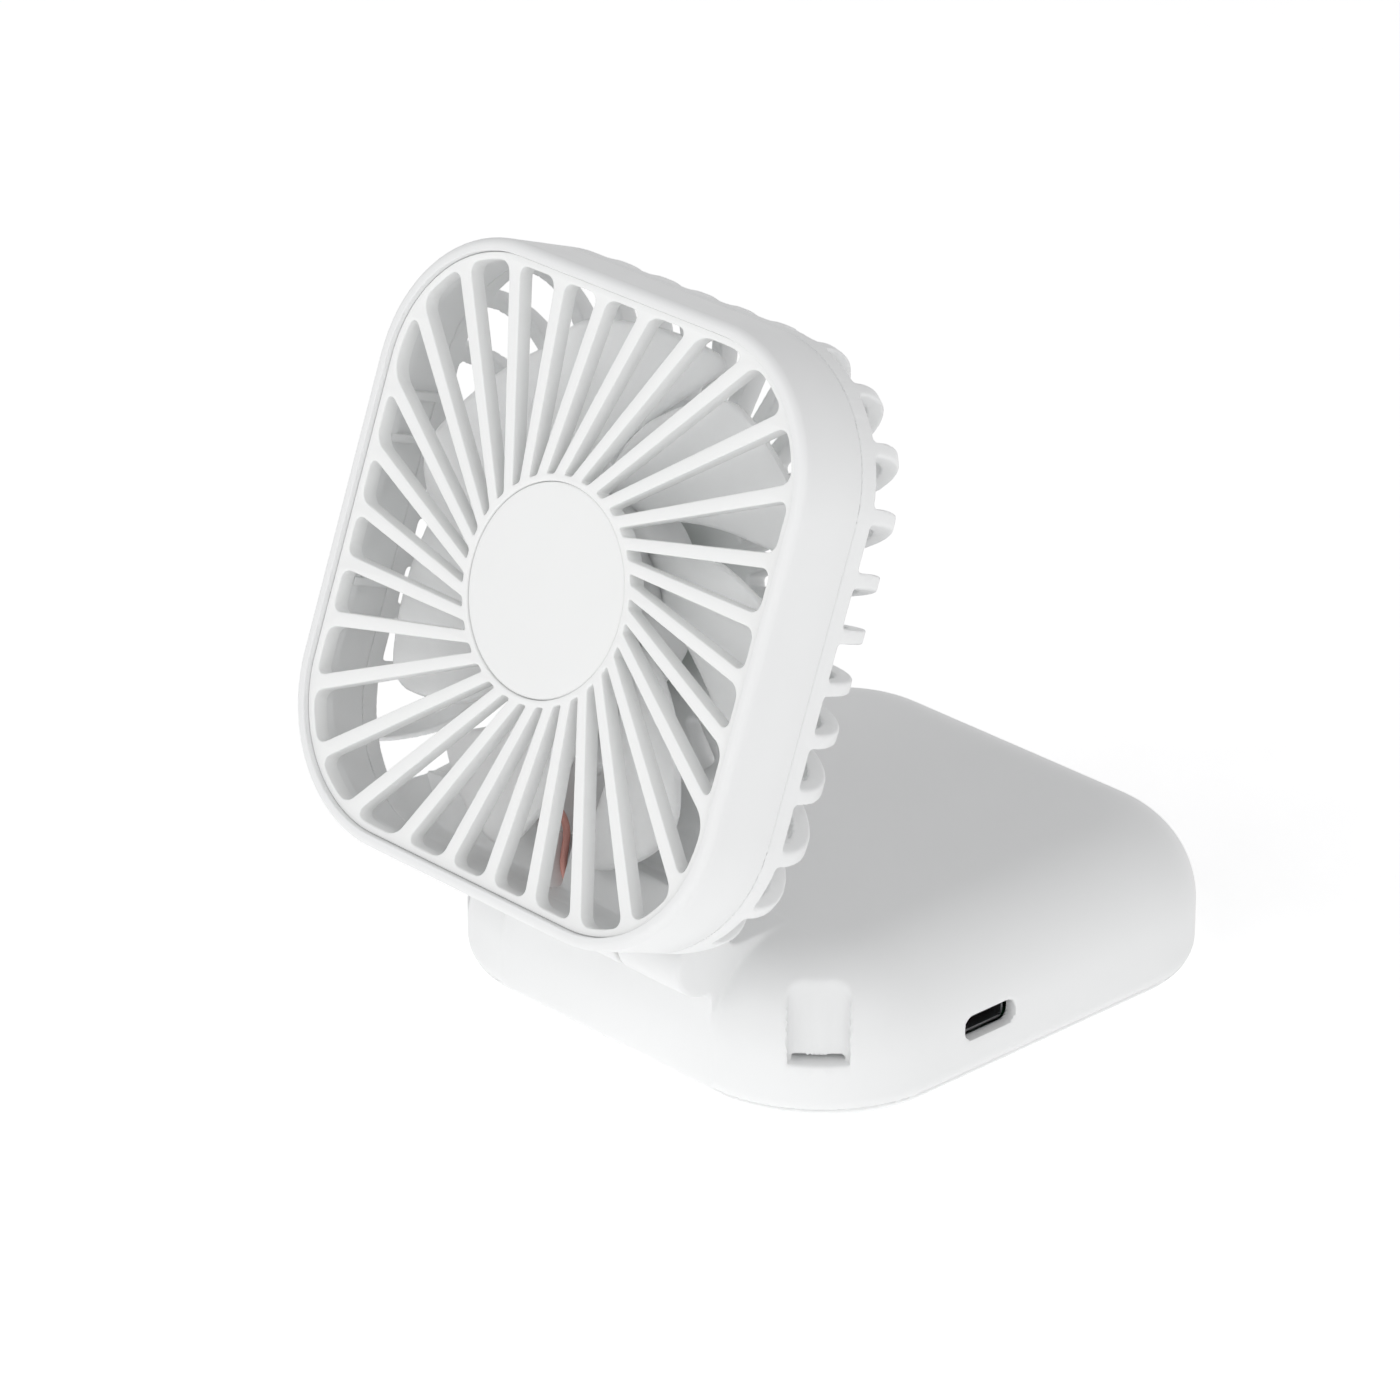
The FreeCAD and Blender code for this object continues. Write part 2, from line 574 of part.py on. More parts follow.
rear_hollow = new_body("rear_hollow")
rounded_box(rear_hollow, IN_W, IN_H, ("rear_thick - rear_depth", "1"), IN_R, back="7.0")

rear = keep(new_body("rear_shell", head=True))
rounded_box(rear, "head_width / 2", "head_height / 2", ("-rear_depth", "-seam_depth"),
            "head_corner", back="rear_round")
cut_with(rear, rear_hollow)
wedge(rear, ("-head_height / 2", "-33"), "root_half", "root_half_top",
      ("-root_depth", "-root_front"))
SLOT_HALF = "%s * tan(5 deg) - rib_half"
first = wedge(rear, ("outer_slot_start", "62"), SLOT_HALF % "outer_slot_start",
              SLOT_HALF % "62", ("-rear_depth - 1", "-slot_front"), cut=True, turn=-135)
polar(rear, [first], 28, angle=270)
inner = wedge(rear, ("inner_slot_start", "inner_slot_end"),
              SLOT_HALF % "inner_slot_start" + " + 0.25",
              SLOT_HALF % "inner_slot_end" + " + 0.25",
              ("-rear_depth - 1", "-slot_front"), cut=True, turn=5)
polar(rear, [inner], 36)
FLOOR = "rear_thick - rear_depth"
rod(rear, "z", ("0", "0"), "post_outer", "-rear_depth + 1", "-stator_front + 1.2")
rod(rear, "z", ("0", "0"), "5.0", "-rear_depth + 1", "-stator_rear - 0.2")
AXIS = ("-face_rise", "-face_reach")
rod(rear, "x", AXIS, "barrel_radius", "-knuckle_half", "knuckle_half")
box(rear, ("-knuckle_half", "knuckle_half"),
    ("-face_rise - neck_low", "neck_top - face_rise"), ("-face_reach", "-18.6"))
rod(rear, "x", AXIS, "pocket_radius", "-wire_slot_half", "wire_slot_half", cut=True)
box(rear, ("-wire_slot_half", "wire_slot_half"), ("-42.6", "-37.6"), ("-24", "-16"), cut=True)
box(rear, ("-wire_slot_half", "wire_slot_half"), ("-40", "-31"), ("-19.9", "-12"), cut=True)
rod(rear, "x", AXIS, "pin_radius + bearing_gap", "-10", "10", cut=True)
rod(rear, "z", ("0", "0"), "sleeve_radius", FLOOR, "0", cut=True)

# ------------------------------------------------------------------ fan motor

sleeve = keep(new_body("bearing_sleeve", head=True))
rod(sleeve, "z", ("0", "0"), "sleeve_radius", FLOOR, "-stator_front + 1.2")
rod(sleeve, "z", ("0", "0"), "shaft_radius + bearing_gap", FLOOR + " + 0.8", "0", cut=True)

stator = keep(new_body("stator_core", head=True))
LAYERS = ("-stator_rear", "-stator_front")
rod(stator, "z", ("0", "0"), "4.9", *LAYERS)
tooth = box(stator, ("-tooth_width / 2", "tooth_width / 2"), ("4", "stator_radius - 0.4"),
            LAYERS)
shoe = box(stator, ("-2.5", "2.5"), ("stator_radius - 1.3", "stator_radius - 0.4"), LAYERS)
polar(stator, [tooth, shoe], 9)
rod(stator, "z", ("0", "0"), "post_outer", "-20", "0", cut=True)

coils = keep(new_body("stator_windings", head=True, several=True))
coil = box(coils, ("-1.45", "1.45"), ("5.4", "stator_radius - 1.6"),
           ("-stator_rear - 0.6", "-stator_front + 0.6"))
bore = box(coils, ("-tooth_width / 2", "tooth_width / 2"), ("5", "stator_radius"), LAYERS,
           cut=True)
polar(coils, [coil, bore], 9)

motor_board = keep(new_body("motor_board", head=True))
rod(motor_board, "z", ("0", "0"), "motor_board_radius", "-stator_rear - 1.8",
    "-stator_rear - 1.0")
rod(motor_board, "z", ("0", "0"), "5.1", "-20", "0", cut=True)

motor_chips = keep(new_body("motor_board_chips", head=True, several=True))
for x, y, wide, long in ((0, -7.6, 3.6, 2.6), (-7.4, 2, 1.8, 1.8), (6.8, 3.6, 1.6, 2.4)):
    box(motor_chips, (x - wide / 2, x + wide / 2), (y - long / 2, y + long / 2),
        ("-stator_rear - 2.6", "-stator_rear - 1.8"))

# ------------------------------------------------------------------ impeller

impeller = keep(new_body("impeller", head=True))
rod(impeller, "z", ("0", "0"), "cup_radius", "-cup_rear", "-cup_front")
fillet(impeller, "cup_round", level_at(-DIMENSIONS["cup_front"]))
blade = impeller.newObject("Sketcher::SketchObject", "blade_plan")
flat = [item for item in impeller.Origin.OriginFeatures if item.Role == "XY_Plane"][0]
blade.AttachmentSupport = [(flat, "")]
blade.MapMode = "FlatFace"
blade.AttachmentOffset = Placement(Vector(0, 0, -DIMENSIONS["blade_mid"]),
                                   Rotation(Vector(0, 0, 1), DIMENSIONS["blade_phase"])
                                   * Rotation(Vector(1, 0, 0), DIMENSIONS["blade_pitch"]))
tip = DIMENSIONS["blade_radius"]
heel, toe = math.radians(-24), math.radians(17)
corners = [Vector(tip * math.cos(heel), tip * math.sin(heel), 0),
           Vector(tip * math.cos(toe), tip * math.sin(toe), 0), Vector(27.0, 14.0, 0),
           Vector(16.5, 14.3, 0), Vector(8.0, 9.6, 0), Vector(12.0, 4.2, 0), Vector(20.6, 0, 0)]
round_tip = Part.Circle(Vector(0, 0, 0), Vector(0, 0, 1), tip)
blade.addGeometry(Part.ArcOfCircle(round_tip, heel, toe), False)
for tail, nose in zip(corners[1:], corners[2:] + corners[:1]):
    blade.addGeometry(Part.LineSegment(tail, nose), False)
for line in range(6):
    blade.addConstraint(Sketcher.Constraint("Coincident", line, 2, line + 1, 1))
blade.addConstraint(Sketcher.Constraint("Coincident", 6, 2, 0, 1))
blade.addConstraint(Sketcher.Constraint("Coincident", 0, 3, -1, 1))
tip_size = blade.addConstraint(Sketcher.Constraint("Radius", 0, tip))
bind(blade, "Constraints[%d]" % tip_size, "blade_radius")
doc.recompute()
vane = impeller.newObject("PartDesign::Pad", "vane")
vane.Profile = blade
vane.Midplane = True
bind(vane, "Length", "blade_thick")
finish(impeller, vane)


def blade_edge(edge):
    middle = edge.CenterOfMass
    return math.hypot(middle.x, middle.y) > 19 and edge.Length < 2


fillet(impeller, "blade_corner", blade_edge)
rounding = impeller.Tip
polar(impeller, [vane, rounding], 7)
rod(impeller, "z", ("0", "0"), "yoke_radius", "-cup_rear - 1", "-cup_front - 1.6", cut=True)

yoke = keep(new_body("rotor_yoke", head=True))
rod(yoke, "z", ("0", "0"), "yoke_radius", "-cup_rear", "-cup_front - 1.6")
rod(yoke, "z", ("0", "0"), "yoke_radius - yoke_thick", "-cup_rear - 1",
    "-cup_front - 1.6 - yoke_thick", cut=True)
rod(yoke, "z", ("0", "0"), "shaft_radius", "-20", "0", cut=True)

magnet = keep(new_body("rotor_magnet", head=True))
rod(magnet, "z", ("0", "0"), "yoke_radius - yoke_thick", "-cup_rear + 0.4",
    "-cup_front - 3.4")
rod(magnet, "z", ("0", "0"), "yoke_radius - yoke_thick - magnet_thick", "-20", "0", cut=True)

shaft = keep(new_body("rotor_shaft", head=True))
rod(shaft, "z", ("0", "0"), "shaft_radius", FLOOR + " + 1.2", "-cup_front - 1.6")

# ------------------------------------------------------------------ wiring

LEAD = DIMENSIONS["lead_radius"]
for colour, side in (("red", -1), ("black", 1)):
    keep(tube("%s_motor_lead" % colour, [
        (side * 5.0, -9.6, -17.6), (side * 11.0, -15.0, -17.5), (side * 16.5, -21.5, -17.6),
        (side * 11.5, -27.5, -17.6), (side * 4.5, -29.6, -17.7), (side * 1.0, -32.0, -17.8),
        (side * 0.9, -37.6, -18.6), (side * 0.9, -40.3, -21.0), (side * 0.9, -42.3, -24.4)],
        LEAD, head=True))
for colour, side in (("red", -1), ("black", 1)):
    keep(tube("%s_base_lead" % colour, [
        (side * 0.9, -42.4, 20.3), (side * 0.9, -38.4, 16.3), (side * 1.1, -33.0, 12.0),
        (side * 2.5, -27.0, 9.2), (side * 4.5, -21.0, 8.3)], LEAD))
for colour, x in (("red", -6), ("black", 6)):
    keep(tube("%s_battery_lead" % colour, [
        (x, 1.9, 9.6), (x * 0.97, -0.4, 9.2), (x * 0.9, -2.6, 7.6 + 0.1)], LEAD))

# ------------------------------------------------------------------ checks and export

doc.recompute()
for item in doc.Objects:
    if "Invalid" in item.State or "Error" in item.State:
        raise ValueError("%s (%s) is %s" % (item.Label, item.Name, item.State))
os.makedirs("parts", exist_ok=True)
for item in nodes:
    if not item.Shape.isValid() or not item.Shape.Solids:
        raise ValueError(item.Label + " is not a valid solid")
    item.Shape.exportStep("parts/%s.step" % item.Label)
    FreeCAD.Console.PrintMessage("%s %d %.1f\n" % (
        item.Label, len(item.Shape.Solids), item.Shape.Volume))
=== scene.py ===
"""Looks of the folding square fan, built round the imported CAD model."""

import json
import math

import bmesh
import bpy
import numpy as np
from mathutils import Matrix, Vector


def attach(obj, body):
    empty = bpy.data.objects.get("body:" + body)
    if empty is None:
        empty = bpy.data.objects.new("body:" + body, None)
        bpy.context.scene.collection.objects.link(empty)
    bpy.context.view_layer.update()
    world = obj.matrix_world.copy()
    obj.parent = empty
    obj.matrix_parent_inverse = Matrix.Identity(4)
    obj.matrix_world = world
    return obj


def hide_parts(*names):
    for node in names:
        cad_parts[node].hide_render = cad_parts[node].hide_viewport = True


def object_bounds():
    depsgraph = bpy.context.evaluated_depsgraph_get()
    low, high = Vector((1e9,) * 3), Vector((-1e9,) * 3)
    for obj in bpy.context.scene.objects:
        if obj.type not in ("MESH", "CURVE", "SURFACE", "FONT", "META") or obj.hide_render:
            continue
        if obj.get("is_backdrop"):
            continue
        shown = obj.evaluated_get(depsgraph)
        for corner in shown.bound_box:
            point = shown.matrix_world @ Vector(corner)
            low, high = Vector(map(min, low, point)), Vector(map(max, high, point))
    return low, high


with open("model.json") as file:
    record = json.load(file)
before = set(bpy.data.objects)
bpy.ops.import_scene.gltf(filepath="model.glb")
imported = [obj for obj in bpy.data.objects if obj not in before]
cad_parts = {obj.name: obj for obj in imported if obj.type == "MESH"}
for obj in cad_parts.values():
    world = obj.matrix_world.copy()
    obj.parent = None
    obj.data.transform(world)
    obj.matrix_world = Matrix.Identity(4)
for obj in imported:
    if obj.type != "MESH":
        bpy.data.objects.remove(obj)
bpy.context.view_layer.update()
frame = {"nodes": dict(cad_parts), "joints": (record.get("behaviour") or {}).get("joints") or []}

MM = 0.001

# Sizes in millimetres. The base stands on z = 0; the head is drawn flat, its face at z = 0 and its
# back at negative z, and is then laid on the hinge.
BASE = (40.8, 42.45, 20.5)
BASE_TOP, TOP_ROUND = 22.3, 13.4
FOOT_GAP, EDGE_ROUND, PARTING = 0.3, 3.5, 2.3
WALL = 2.0
HEAD = (40.0, 41.6, 20.8)
HEAD_WALL, HEAD_DEPTH, HEAD_ROUND, SEAM = 1.8, 24.4, 10.0, 11.0
HEAD_FLOOR = 20.8
FACE_RISE, FACE_REACH, LEAN = 43.4, 26.7, math.radians(20.5)
LUG_HALF, GAP_HALF, KNUCKLE_HALF, BARREL = 20.7, 8.7, 7.8, 4.9
PORT_Y, PORT_Z = -10.15, 8.75
BUTTON_Z, LIGHT_Y = 8.9, -17.6
CORNER_SPOTS = [(1, -45), (-1, -135)]
SCREW_BOSS, BOSS_TOP, SCREW_HOLE, SCREW_DEPTH = 3.0, 6.5, 1.75, 1.4
FOOT_HOLE, FOOT_DEPTH = 3.65, 0.95
PORT_SIZE, BUTTON_HOLE, LIGHT_HOLE, WALL_INSIDE = (4.725, 1.75, 1.5), 3.3, 0.95, 30
COVER_FLOOR, PARTING_LINE = 1.9, 0.06
BARREL_ROOM, LEAD_HALF, FAR = 5.3, 1.7, 9.0
SCREWS = [(16, -33), (-16, -33), (30, 28), (-30, 28)]
FEET = [(28, -27), (-28, -27), (20, 35.5), (-20, 35.5)]

hinge = [joint for joint in frame["joints"] if joint["name"] == "head_tilt"][0]
HINGE = Vector(hinge["pos_m"]) / MM
HEAD_PLACE = Matrix.Translation((
    0,
    HINGE.y + math.sin(LEAN) * FACE_RISE - math.cos(LEAN) * FACE_REACH,
    HINGE.z + math.cos(LEAN) * FACE_RISE + math.sin(LEAN) * FACE_REACH,
)) @ Matrix.Rotation(math.pi / 2 - LEAN, 4, "X")


# ---------------------------------------------------------------- camera, light and floor

def look_at(spot, target):
    return (Vector(target) - Vector(spot)).to_track_quat("-Z", "Y").to_euler()


scene = bpy.context.scene
scene.view_settings.view_transform = "Standard"
scene.cycles.max_bounces = 16
scene.cycles.diffuse_bounces = 10

camera_data = bpy.data.cameras.new("camera")
camera_data.sensor_width = 36.0
camera_data.lens = 171.84
camera_data.clip_end = 20.0
camera = bpy.data.objects.new("camera", camera_data)
camera.location = (0.5893, -0.5805, 0.4238)
camera.rotation_euler = look_at(camera.location, (-0.02657, 0.0, 0.02983))
scene.collection.objects.link(camera)
scene.camera = camera


def softbox(name, spot, target, size, power):
    lamp = bpy.data.lights.new(name, "AREA")
    lamp.shape = "RECTANGLE"
    lamp.size, lamp.size_y = size
    lamp.energy = power
    holder = bpy.data.objects.new(name, lamp)
    holder.location = spot
    holder.rotation_euler = look_at(spot, target)
    scene.collection.objects.link(holder)


AIM = (0, 0, 0.05)
softbox("front_softbox", (-0.15, -1.42, 0.95), AIM, (1.4, 1.0), 6.8)
softbox("right_softbox", (1.3, -0.4, 0.85), AIM, (1.2, 0.9), 4.6)

world = bpy.data.worlds.new("studio")
scene.world = world
world.use_nodes = True
sky = world.node_tree
direction = sky.nodes.new("ShaderNodeTexCoord")
split = sky.nodes.new("ShaderNodeSeparateXYZ")
fade = sky.nodes.new("ShaderNodeValToRGB")
fade.color_ramp.elements[0].position = 0.0
fade.color_ramp.elements[0].color = (0.82, 0.82, 0.82, 1)
fade.color_ramp.elements[1].position = 0.75
fade.color_ramp.elements[1].color = (0.51, 0.51, 0.515, 1)
sky.links.new(direction.outputs["Generated"], split.inputs[0])
sky.links.new(split.outputs["Z"], fade.inputs[0])
sky.links.new(fade.outputs[0], sky.nodes["Background"].inputs["Color"])
sky.nodes["Background"].inputs["Strength"].default_value = 0.95


# ---------------------------------------------------------------- materials

def new_material(name):
    material = bpy.data.materials.new(name)
    material.use_nodes = True
    tree = material.node_tree
    return material, tree, tree.nodes["Principled BSDF"]


def grain(tree, scale, detail=2.0, kind="ShaderNodeTexNoise"):
    """A texture in the piece's own metres, scale being features per metre."""
    place = tree.nodes.new("ShaderNodeTexCoord")
    texture = tree.nodes.new(kind)
    texture.inputs["Scale"].default_value = scale
    if "Detail" in texture.inputs:
        texture.inputs["Detail"].default_value = detail
    tree.links.new(place.outputs["Object"], texture.inputs["Vector"])
    return texture


def ramp(tree, source, low, high, start=0.3, end=0.7):
    node = tree.nodes.new("ShaderNodeValToRGB")
    node.color_ramp.elements[0].position = start
    node.color_ramp.elements[1].position = end
    node.color_ramp.elements[0].color = (*low, 1)
    node.color_ramp.elements[1].color = (*high, 1)
    tree.links.new(source, node.inputs[0])
    return node.outputs[0]


def spread_values(tree, source, low, high):
    node = tree.nodes.new("ShaderNodeMapRange")
    node.inputs["To Min"].default_value = low
    node.inputs["To Max"].default_value = high
    tree.links.new(source, node.inputs["Value"])
    return node.outputs[0]


def bumped(tree, shader, source, strength, distance):
    node = tree.nodes.new("ShaderNodeBump")
    node.inputs["Strength"].default_value = strength
    node.inputs["Distance"].default_value = distance
    tree.links.new(source, node.inputs["Height"])
    tree.links.new(node.outputs[0], shader.inputs["Normal"])


MOTTLE, MILK_DEPTH = 0.985, 0.004        # darkest flow mark, and how far light goes in (m)


def moulded(name, colour, rough=(0.36, 0.46), texture=0.12, sheen=0.0, through=0.0, milk=0.0,
            scale=2600.0):
    """Injection-moulded plastic: faint flow mottling, spark-eroded grain and uneven gloss."""
    material, tree, shader = new_material(name)
    flow = grain(tree, 38.0, 3.0)
    shade = tuple(value * MOTTLE for value in colour)
    tree.links.new(ramp(tree, flow.outputs[0], shade, colour), shader.inputs["Base Color"])
    patch = grain(tree, 420.0, 4.0)
    tree.links.new(spread_values(tree, patch.outputs[0], *rough), shader.inputs["Roughness"])
    fine = grain(tree, scale, 3.0)
    bumped(tree, shader, fine.outputs[0], texture, 0.00005)
    shader.inputs["IOR"].default_value = 1.46
    shader.inputs["Sheen Weight"].default_value = sheen
    shader.inputs["Transmission Weight"].default_value = through
    shader.inputs["Subsurface Weight"].default_value = milk
    shader.inputs["Subsurface Radius"].default_value = (1, 1, 1)
    shader.inputs["Subsurface Scale"].default_value = MILK_DEPTH
    return material


def brushed(name, colour, rough=(0.22, 0.38), stretch=(40.0, 1.0, 1.0)):
    """Metal drawn along one direction."""
    material, tree, shader = new_material(name)
    place = tree.nodes.new("ShaderNodeTexCoord")
    squeeze = tree.nodes.new("ShaderNodeMapping")
    squeeze.inputs["Scale"].default_value = stretch
    lines = tree.nodes.new("ShaderNodeTexNoise")
    lines.inputs["Scale"].default_value = 300.0
    lines.inputs["Detail"].default_value = 4.0
    tree.links.new(place.outputs["Object"], squeeze.inputs[0])
    tree.links.new(squeeze.outputs[0], lines.inputs["Vector"])
    dull = tuple(value * 0.82 for value in colour)
    tree.links.new(ramp(tree, lines.outputs[0], dull, colour), shader.inputs["Base Color"])
    tree.links.new(spread_values(tree, lines.outputs[0], *rough), shader.inputs["Roughness"])
    bumped(tree, shader, lines.outputs[0], 0.2, 0.00003)
    shader.inputs["Metallic"].default_value = 1.0
    return material


def circuit(name):
    """Green solder mask with faint copper tracks under it."""
    material, tree, shader = new_material(name)
    tracks = grain(tree, 420.0, kind="ShaderNodeTexVoronoi")
    tracks.distance = "CHEBYCHEV"
    tracks.feature = "F1"
    green = ramp(tree, tracks.outputs["Distance"], (0.012, 0.10, 0.035), (0.02, 0.17, 0.06),
                 0.45, 0.5)
    tree.links.new(green, shader.inputs["Base Color"])
    tree.links.new(spread_values(tree, tracks.outputs["Distance"], 0.28, 0.4),
                   shader.inputs["Roughness"])
    bumped(tree, shader, tracks.outputs["Distance"], 0.25, 0.00004)
    return material


def wound(name, colour):
    """Enamelled copper wire laid in turns."""
    material, tree, shader = new_material(name)
    place = tree.nodes.new("ShaderNodeTexCoord")
    turns = tree.nodes.new("ShaderNodeTexWave")
    turns.inputs["Scale"].default_value = 1500.0
    turns.inputs["Distortion"].default_value = 0.6
    tree.links.new(place.outputs["Object"], turns.inputs["Vector"])
    # Painted shade: the copper is darkened to 0.45 in the grooves between the turns.
    groove_shade = tuple(value * 0.45 for value in colour)
    tree.links.new(ramp(tree, turns.outputs["Fac"], groove_shade, colour, 0.1, 0.6),
                   shader.inputs["Base Color"])
    tree.links.new(spread_values(tree, turns.outputs["Fac"], 0.45, 0.25),
                   shader.inputs["Roughness"])
    bumped(tree, shader, turns.outputs["Fac"], 0.6, 0.0001)
    shader.inputs["Metallic"].default_value = 1.0
    return material


FINISHES = {
    "shell_white": moulded("shell_white", (0.805, 0.81, 0.81)),
    "grille_white": moulded("grille_white", (0.85, 0.855, 0.85), rough=(0.34, 0.42),
                            texture=0.08),
    "button_white": moulded("button_white", (0.80, 0.81, 0.81), rough=(0.3, 0.38),
                            texture=0.05),
    "blade_frost": moulded("blade_frost", (0.97, 0.98, 0.98), rough=(0.36, 0.46), texture=0.06,
                           through=0.2, milk=0.8),
    "lead_red": moulded("lead_red", (0.78, 0.38, 0.33), rough=(0.35, 0.5), texture=0.2),
    "lead_black": moulded("lead_black", (0.02, 0.02, 0.022), rough=(0.35, 0.5), texture=0.2),
    "feet_rubber": moulded("feet_rubber", (0.58, 0.58, 0.57), rough=(0.7, 0.9),
                           texture=0.5, sheen=0.15, scale=1400.0),
    "pad_foam": moulded("pad_foam", (0.05, 0.05, 0.052), rough=(0.85, 0.95), texture=0.8,
                        scale=1800.0),
    "cell_foil": brushed("cell_foil", (0.62, 0.64, 0.66), rough=(0.32, 0.5)),
    "chip_black": moulded("chip_black", (0.03, 0.03, 0.033), rough=(0.45, 0.6), texture=0.3),
    "board_green": circuit("board_green"),
    "washer_nylon": moulded("washer_nylon", (0.70, 0.69, 0.64), rough=(0.4, 0.55)),
    "light_pipe_clear": moulded("light_pipe_clear", (0.85, 0.87, 0.88), rough=(0.12, 0.2),
                                texture=0.03, through=0.6),
    "steel": brushed("steel", (0.60, 0.61, 0.62)),
    "sleeve_brass": brushed("sleeve_brass", (0.66, 0.49, 0.24)),
    "copper_wire": wound("copper_wire", (0.72, 0.33, 0.15)),
    "socket_steel": brushed("socket_steel", (0.42, 0.43, 0.44), rough=(0.3, 0.45)),
    "black_plastic": moulded("black_plastic", (0.02, 0.02, 0.022), rough=(0.4, 0.55)),
    "core_steel": brushed("core_steel", (0.33, 0.34, 0.36), rough=(0.35, 0.5),
                          stretch=(1.0, 40.0, 1.0)),
    "magnet_dark": moulded("magnet_dark", (0.06, 0.06, 0.065), rough=(0.5, 0.65),
                           texture=0.4),
}

for node in frame["nodes"].values():
    for place in node.material_slots:
        place.material = FINISHES[place.material.name.split(".")[0]]


# ---------------------------------------------------------------- mesh helpers

def piece(name, parts, finish, body, head=False, stands_for=(), sharp=30, tidy=True):
    """One visible object from (points, faces) parts in millimetres."""
    points, faces = [], []
    for part_points, part_faces in parts:
        first = len(points)
        points.extend(tuple(point) for point in part_points)
        faces.extend(tuple(first + corner for corner in face) for face in part_faces)
    mesh = bpy.data.meshes.new(name)
    mesh.from_pydata(points, [], faces)
    mesh.transform(Matrix.Scale(MM, 4) @ (HEAD_PLACE if head else Matrix.Identity(4)))
    if tidy:
        work = bmesh.new()
        work.from_mesh(mesh)
        bmesh.ops.remove_doubles(work, verts=work.verts, dist=1e-7)
        bmesh.ops.recalc_face_normals(work, faces=work.faces)
        work.to_mesh(mesh)
        work.free()
    mesh.polygons.foreach_set("use_smooth", [True] * len(mesh.polygons))
    mesh.set_sharp_from_angle(angle=math.radians(sharp))
    mesh.materials.append(FINISHES[finish])
    made = bpy.data.objects.new(name, mesh)
    scene.collection.objects.link(made)
    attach(made, body)
    if stands_for:
        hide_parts(*stands_for)
    return made


def arc(centre, radius, start, end, steps=8):
    angles = np.radians(np.linspace(start, end, steps + 1))
    return [(centre[0] + radius * math.cos(angle), centre[1] + radius * math.sin(angle))
            for angle in angles]


def outline(half_x, half_y, corner, steps=20, straight=8):
    """Points anticlockwise round a rounded rectangle, always the same number of them."""
    arcs = []
    for quarter, (side_x, side_y) in enumerate(((1, 1), (-1, 1), (-1, -1), (1, -1))):
        centre = (side_x * (half_x - corner), side_y * (half_y - corner))
        arcs.append(arc(centre, corner, 90 * quarter, 90 * quarter + 90, steps))
    points = []
    for quarter in range(4):
        here, ahead = arcs[quarter], arcs[(quarter + 1) % 4]
        points.extend(here)
        tail, nose = np.array(here[-1]), np.array(ahead[0])
        points.extend(tuple(tail + (nose - tail) * k / straight) for k in range(1, straight))
    return points


def joined_rings(rings):
    """Quads between rings of points, the last ring joined back to the first."""
    count = len(rings[0])
    faces = []
    for k in range(len(rings)):
        here, there = k * count, (k + 1) % len(rings) * count
        for m in range(count):
            n = (m + 1) % count
            faces.append((here + m, here + n, there + n, there + m))
    return [point for ring in rings for point in ring], faces


def swept(section, size):
    """Section of (inset, z) points carried round a rounded rectangle."""
    half_x, half_y, corner = size
    rings = [[(x, y, z) for x, y in outline(half_x - d, half_y - d, max(corner - d, 0.05))]
             for d, z in section]
    return joined_rings(rings)


def lathe(section, centre=(0, 0), steps=72, axis="z"):
    """Section of (radius, z) points turned about an axis parallel to z or x."""
    points, faces = [], []
    for radius, height in section:
        for k in range(steps):
            angle = 2 * math.pi * k / steps
            a, b = radius * math.cos(angle), radius * math.sin(angle)
            if axis == "z":
                points.append((centre[0] + a, centre[1] + b, height))
            else:
                points.append((height, centre[0] + a, centre[1] + b))
    for k in range(len(section) - 1):
        for m in range(steps):
            n = (m + 1) % steps
            faces.append((k * steps + m, k * steps + n, (k + 1) * steps + n,
                          (k + 1) * steps + m))
    last = (len(section) - 1) * steps
    faces.append(tuple(range(steps)))
    faces.append(tuple(last + k for k in range(steps)))
    return points, faces


def block(low, high, bevel):
    """Box with rounded edges."""
    work = bmesh.new()
    bmesh.ops.create_cube(work, size=1.0)
    for vertex in work.verts:
        vertex.co = [low[k] + (vertex.co[k] + 0.5) * (high[k] - low[k]) for k in range(3)]
    bmesh.ops.bevel(work, geom=work.edges[:], offset=bevel, segments=3, affect="EDGES",
                    profile=0.5)
    work.verts.ensure_lookup_table()
    points = [tuple(vertex.co) for vertex in work.verts]
    faces = [tuple(corner.index for corner in face.verts) for face in work.faces]
    work.free()
    return points, faces


def plate(loops, low, high, bevel):
    """Flat plate filled between its outer loop and its holes, all its edges rounded."""
    curve = bpy.data.curves.new("plate", "CURVE")
    curve.dimensions = "2D"
    curve.fill_mode = "BOTH"
    for loop in loops:
        spline = curve.splines.new("POLY")
        spline.points.add(len(loop) - 1)
        for point, (x, y) in zip(spline.points, loop):
            point.co = (x, y, 0, 1)
        spline.use_cyclic_u = True
    curve.bevel_depth = bevel
    curve.bevel_resolution = 2
    curve.extrude = (high - low) / 2 - bevel
    curve.offset = -bevel
    holder = bpy.data.objects.new("plate", curve)
    scene.collection.objects.link(holder)
    bpy.context.view_layer.update()
    mesh = bpy.data.meshes.new_from_object(holder)
    middle = (low + high) / 2
    points = [(v.co.x, v.co.y, v.co.z + middle) for v in mesh.vertices]
    faces = [tuple(face.vertices) for face in mesh.polygons]
    bpy.data.objects.remove(holder)
    bpy.data.curves.remove(curve)
    bpy.data.meshes.remove(mesh)
    return points, faces


# ---------------------------------------------------------------- distance fields

def meet(a, b, radius):
    """Intersection of two distance fields with a rounded edge."""
    return (np.minimum(np.maximum(a, b), -radius)
            + np.hypot(np.maximum(a + radius, 0), np.maximum(b + radius, 0)))


def blend_with(a, b, radius):
    """Union with a hollow fillet."""
    return -meet(-a, -b, radius)


def without(a, b, radius):
    return meet(a, -b, radius)


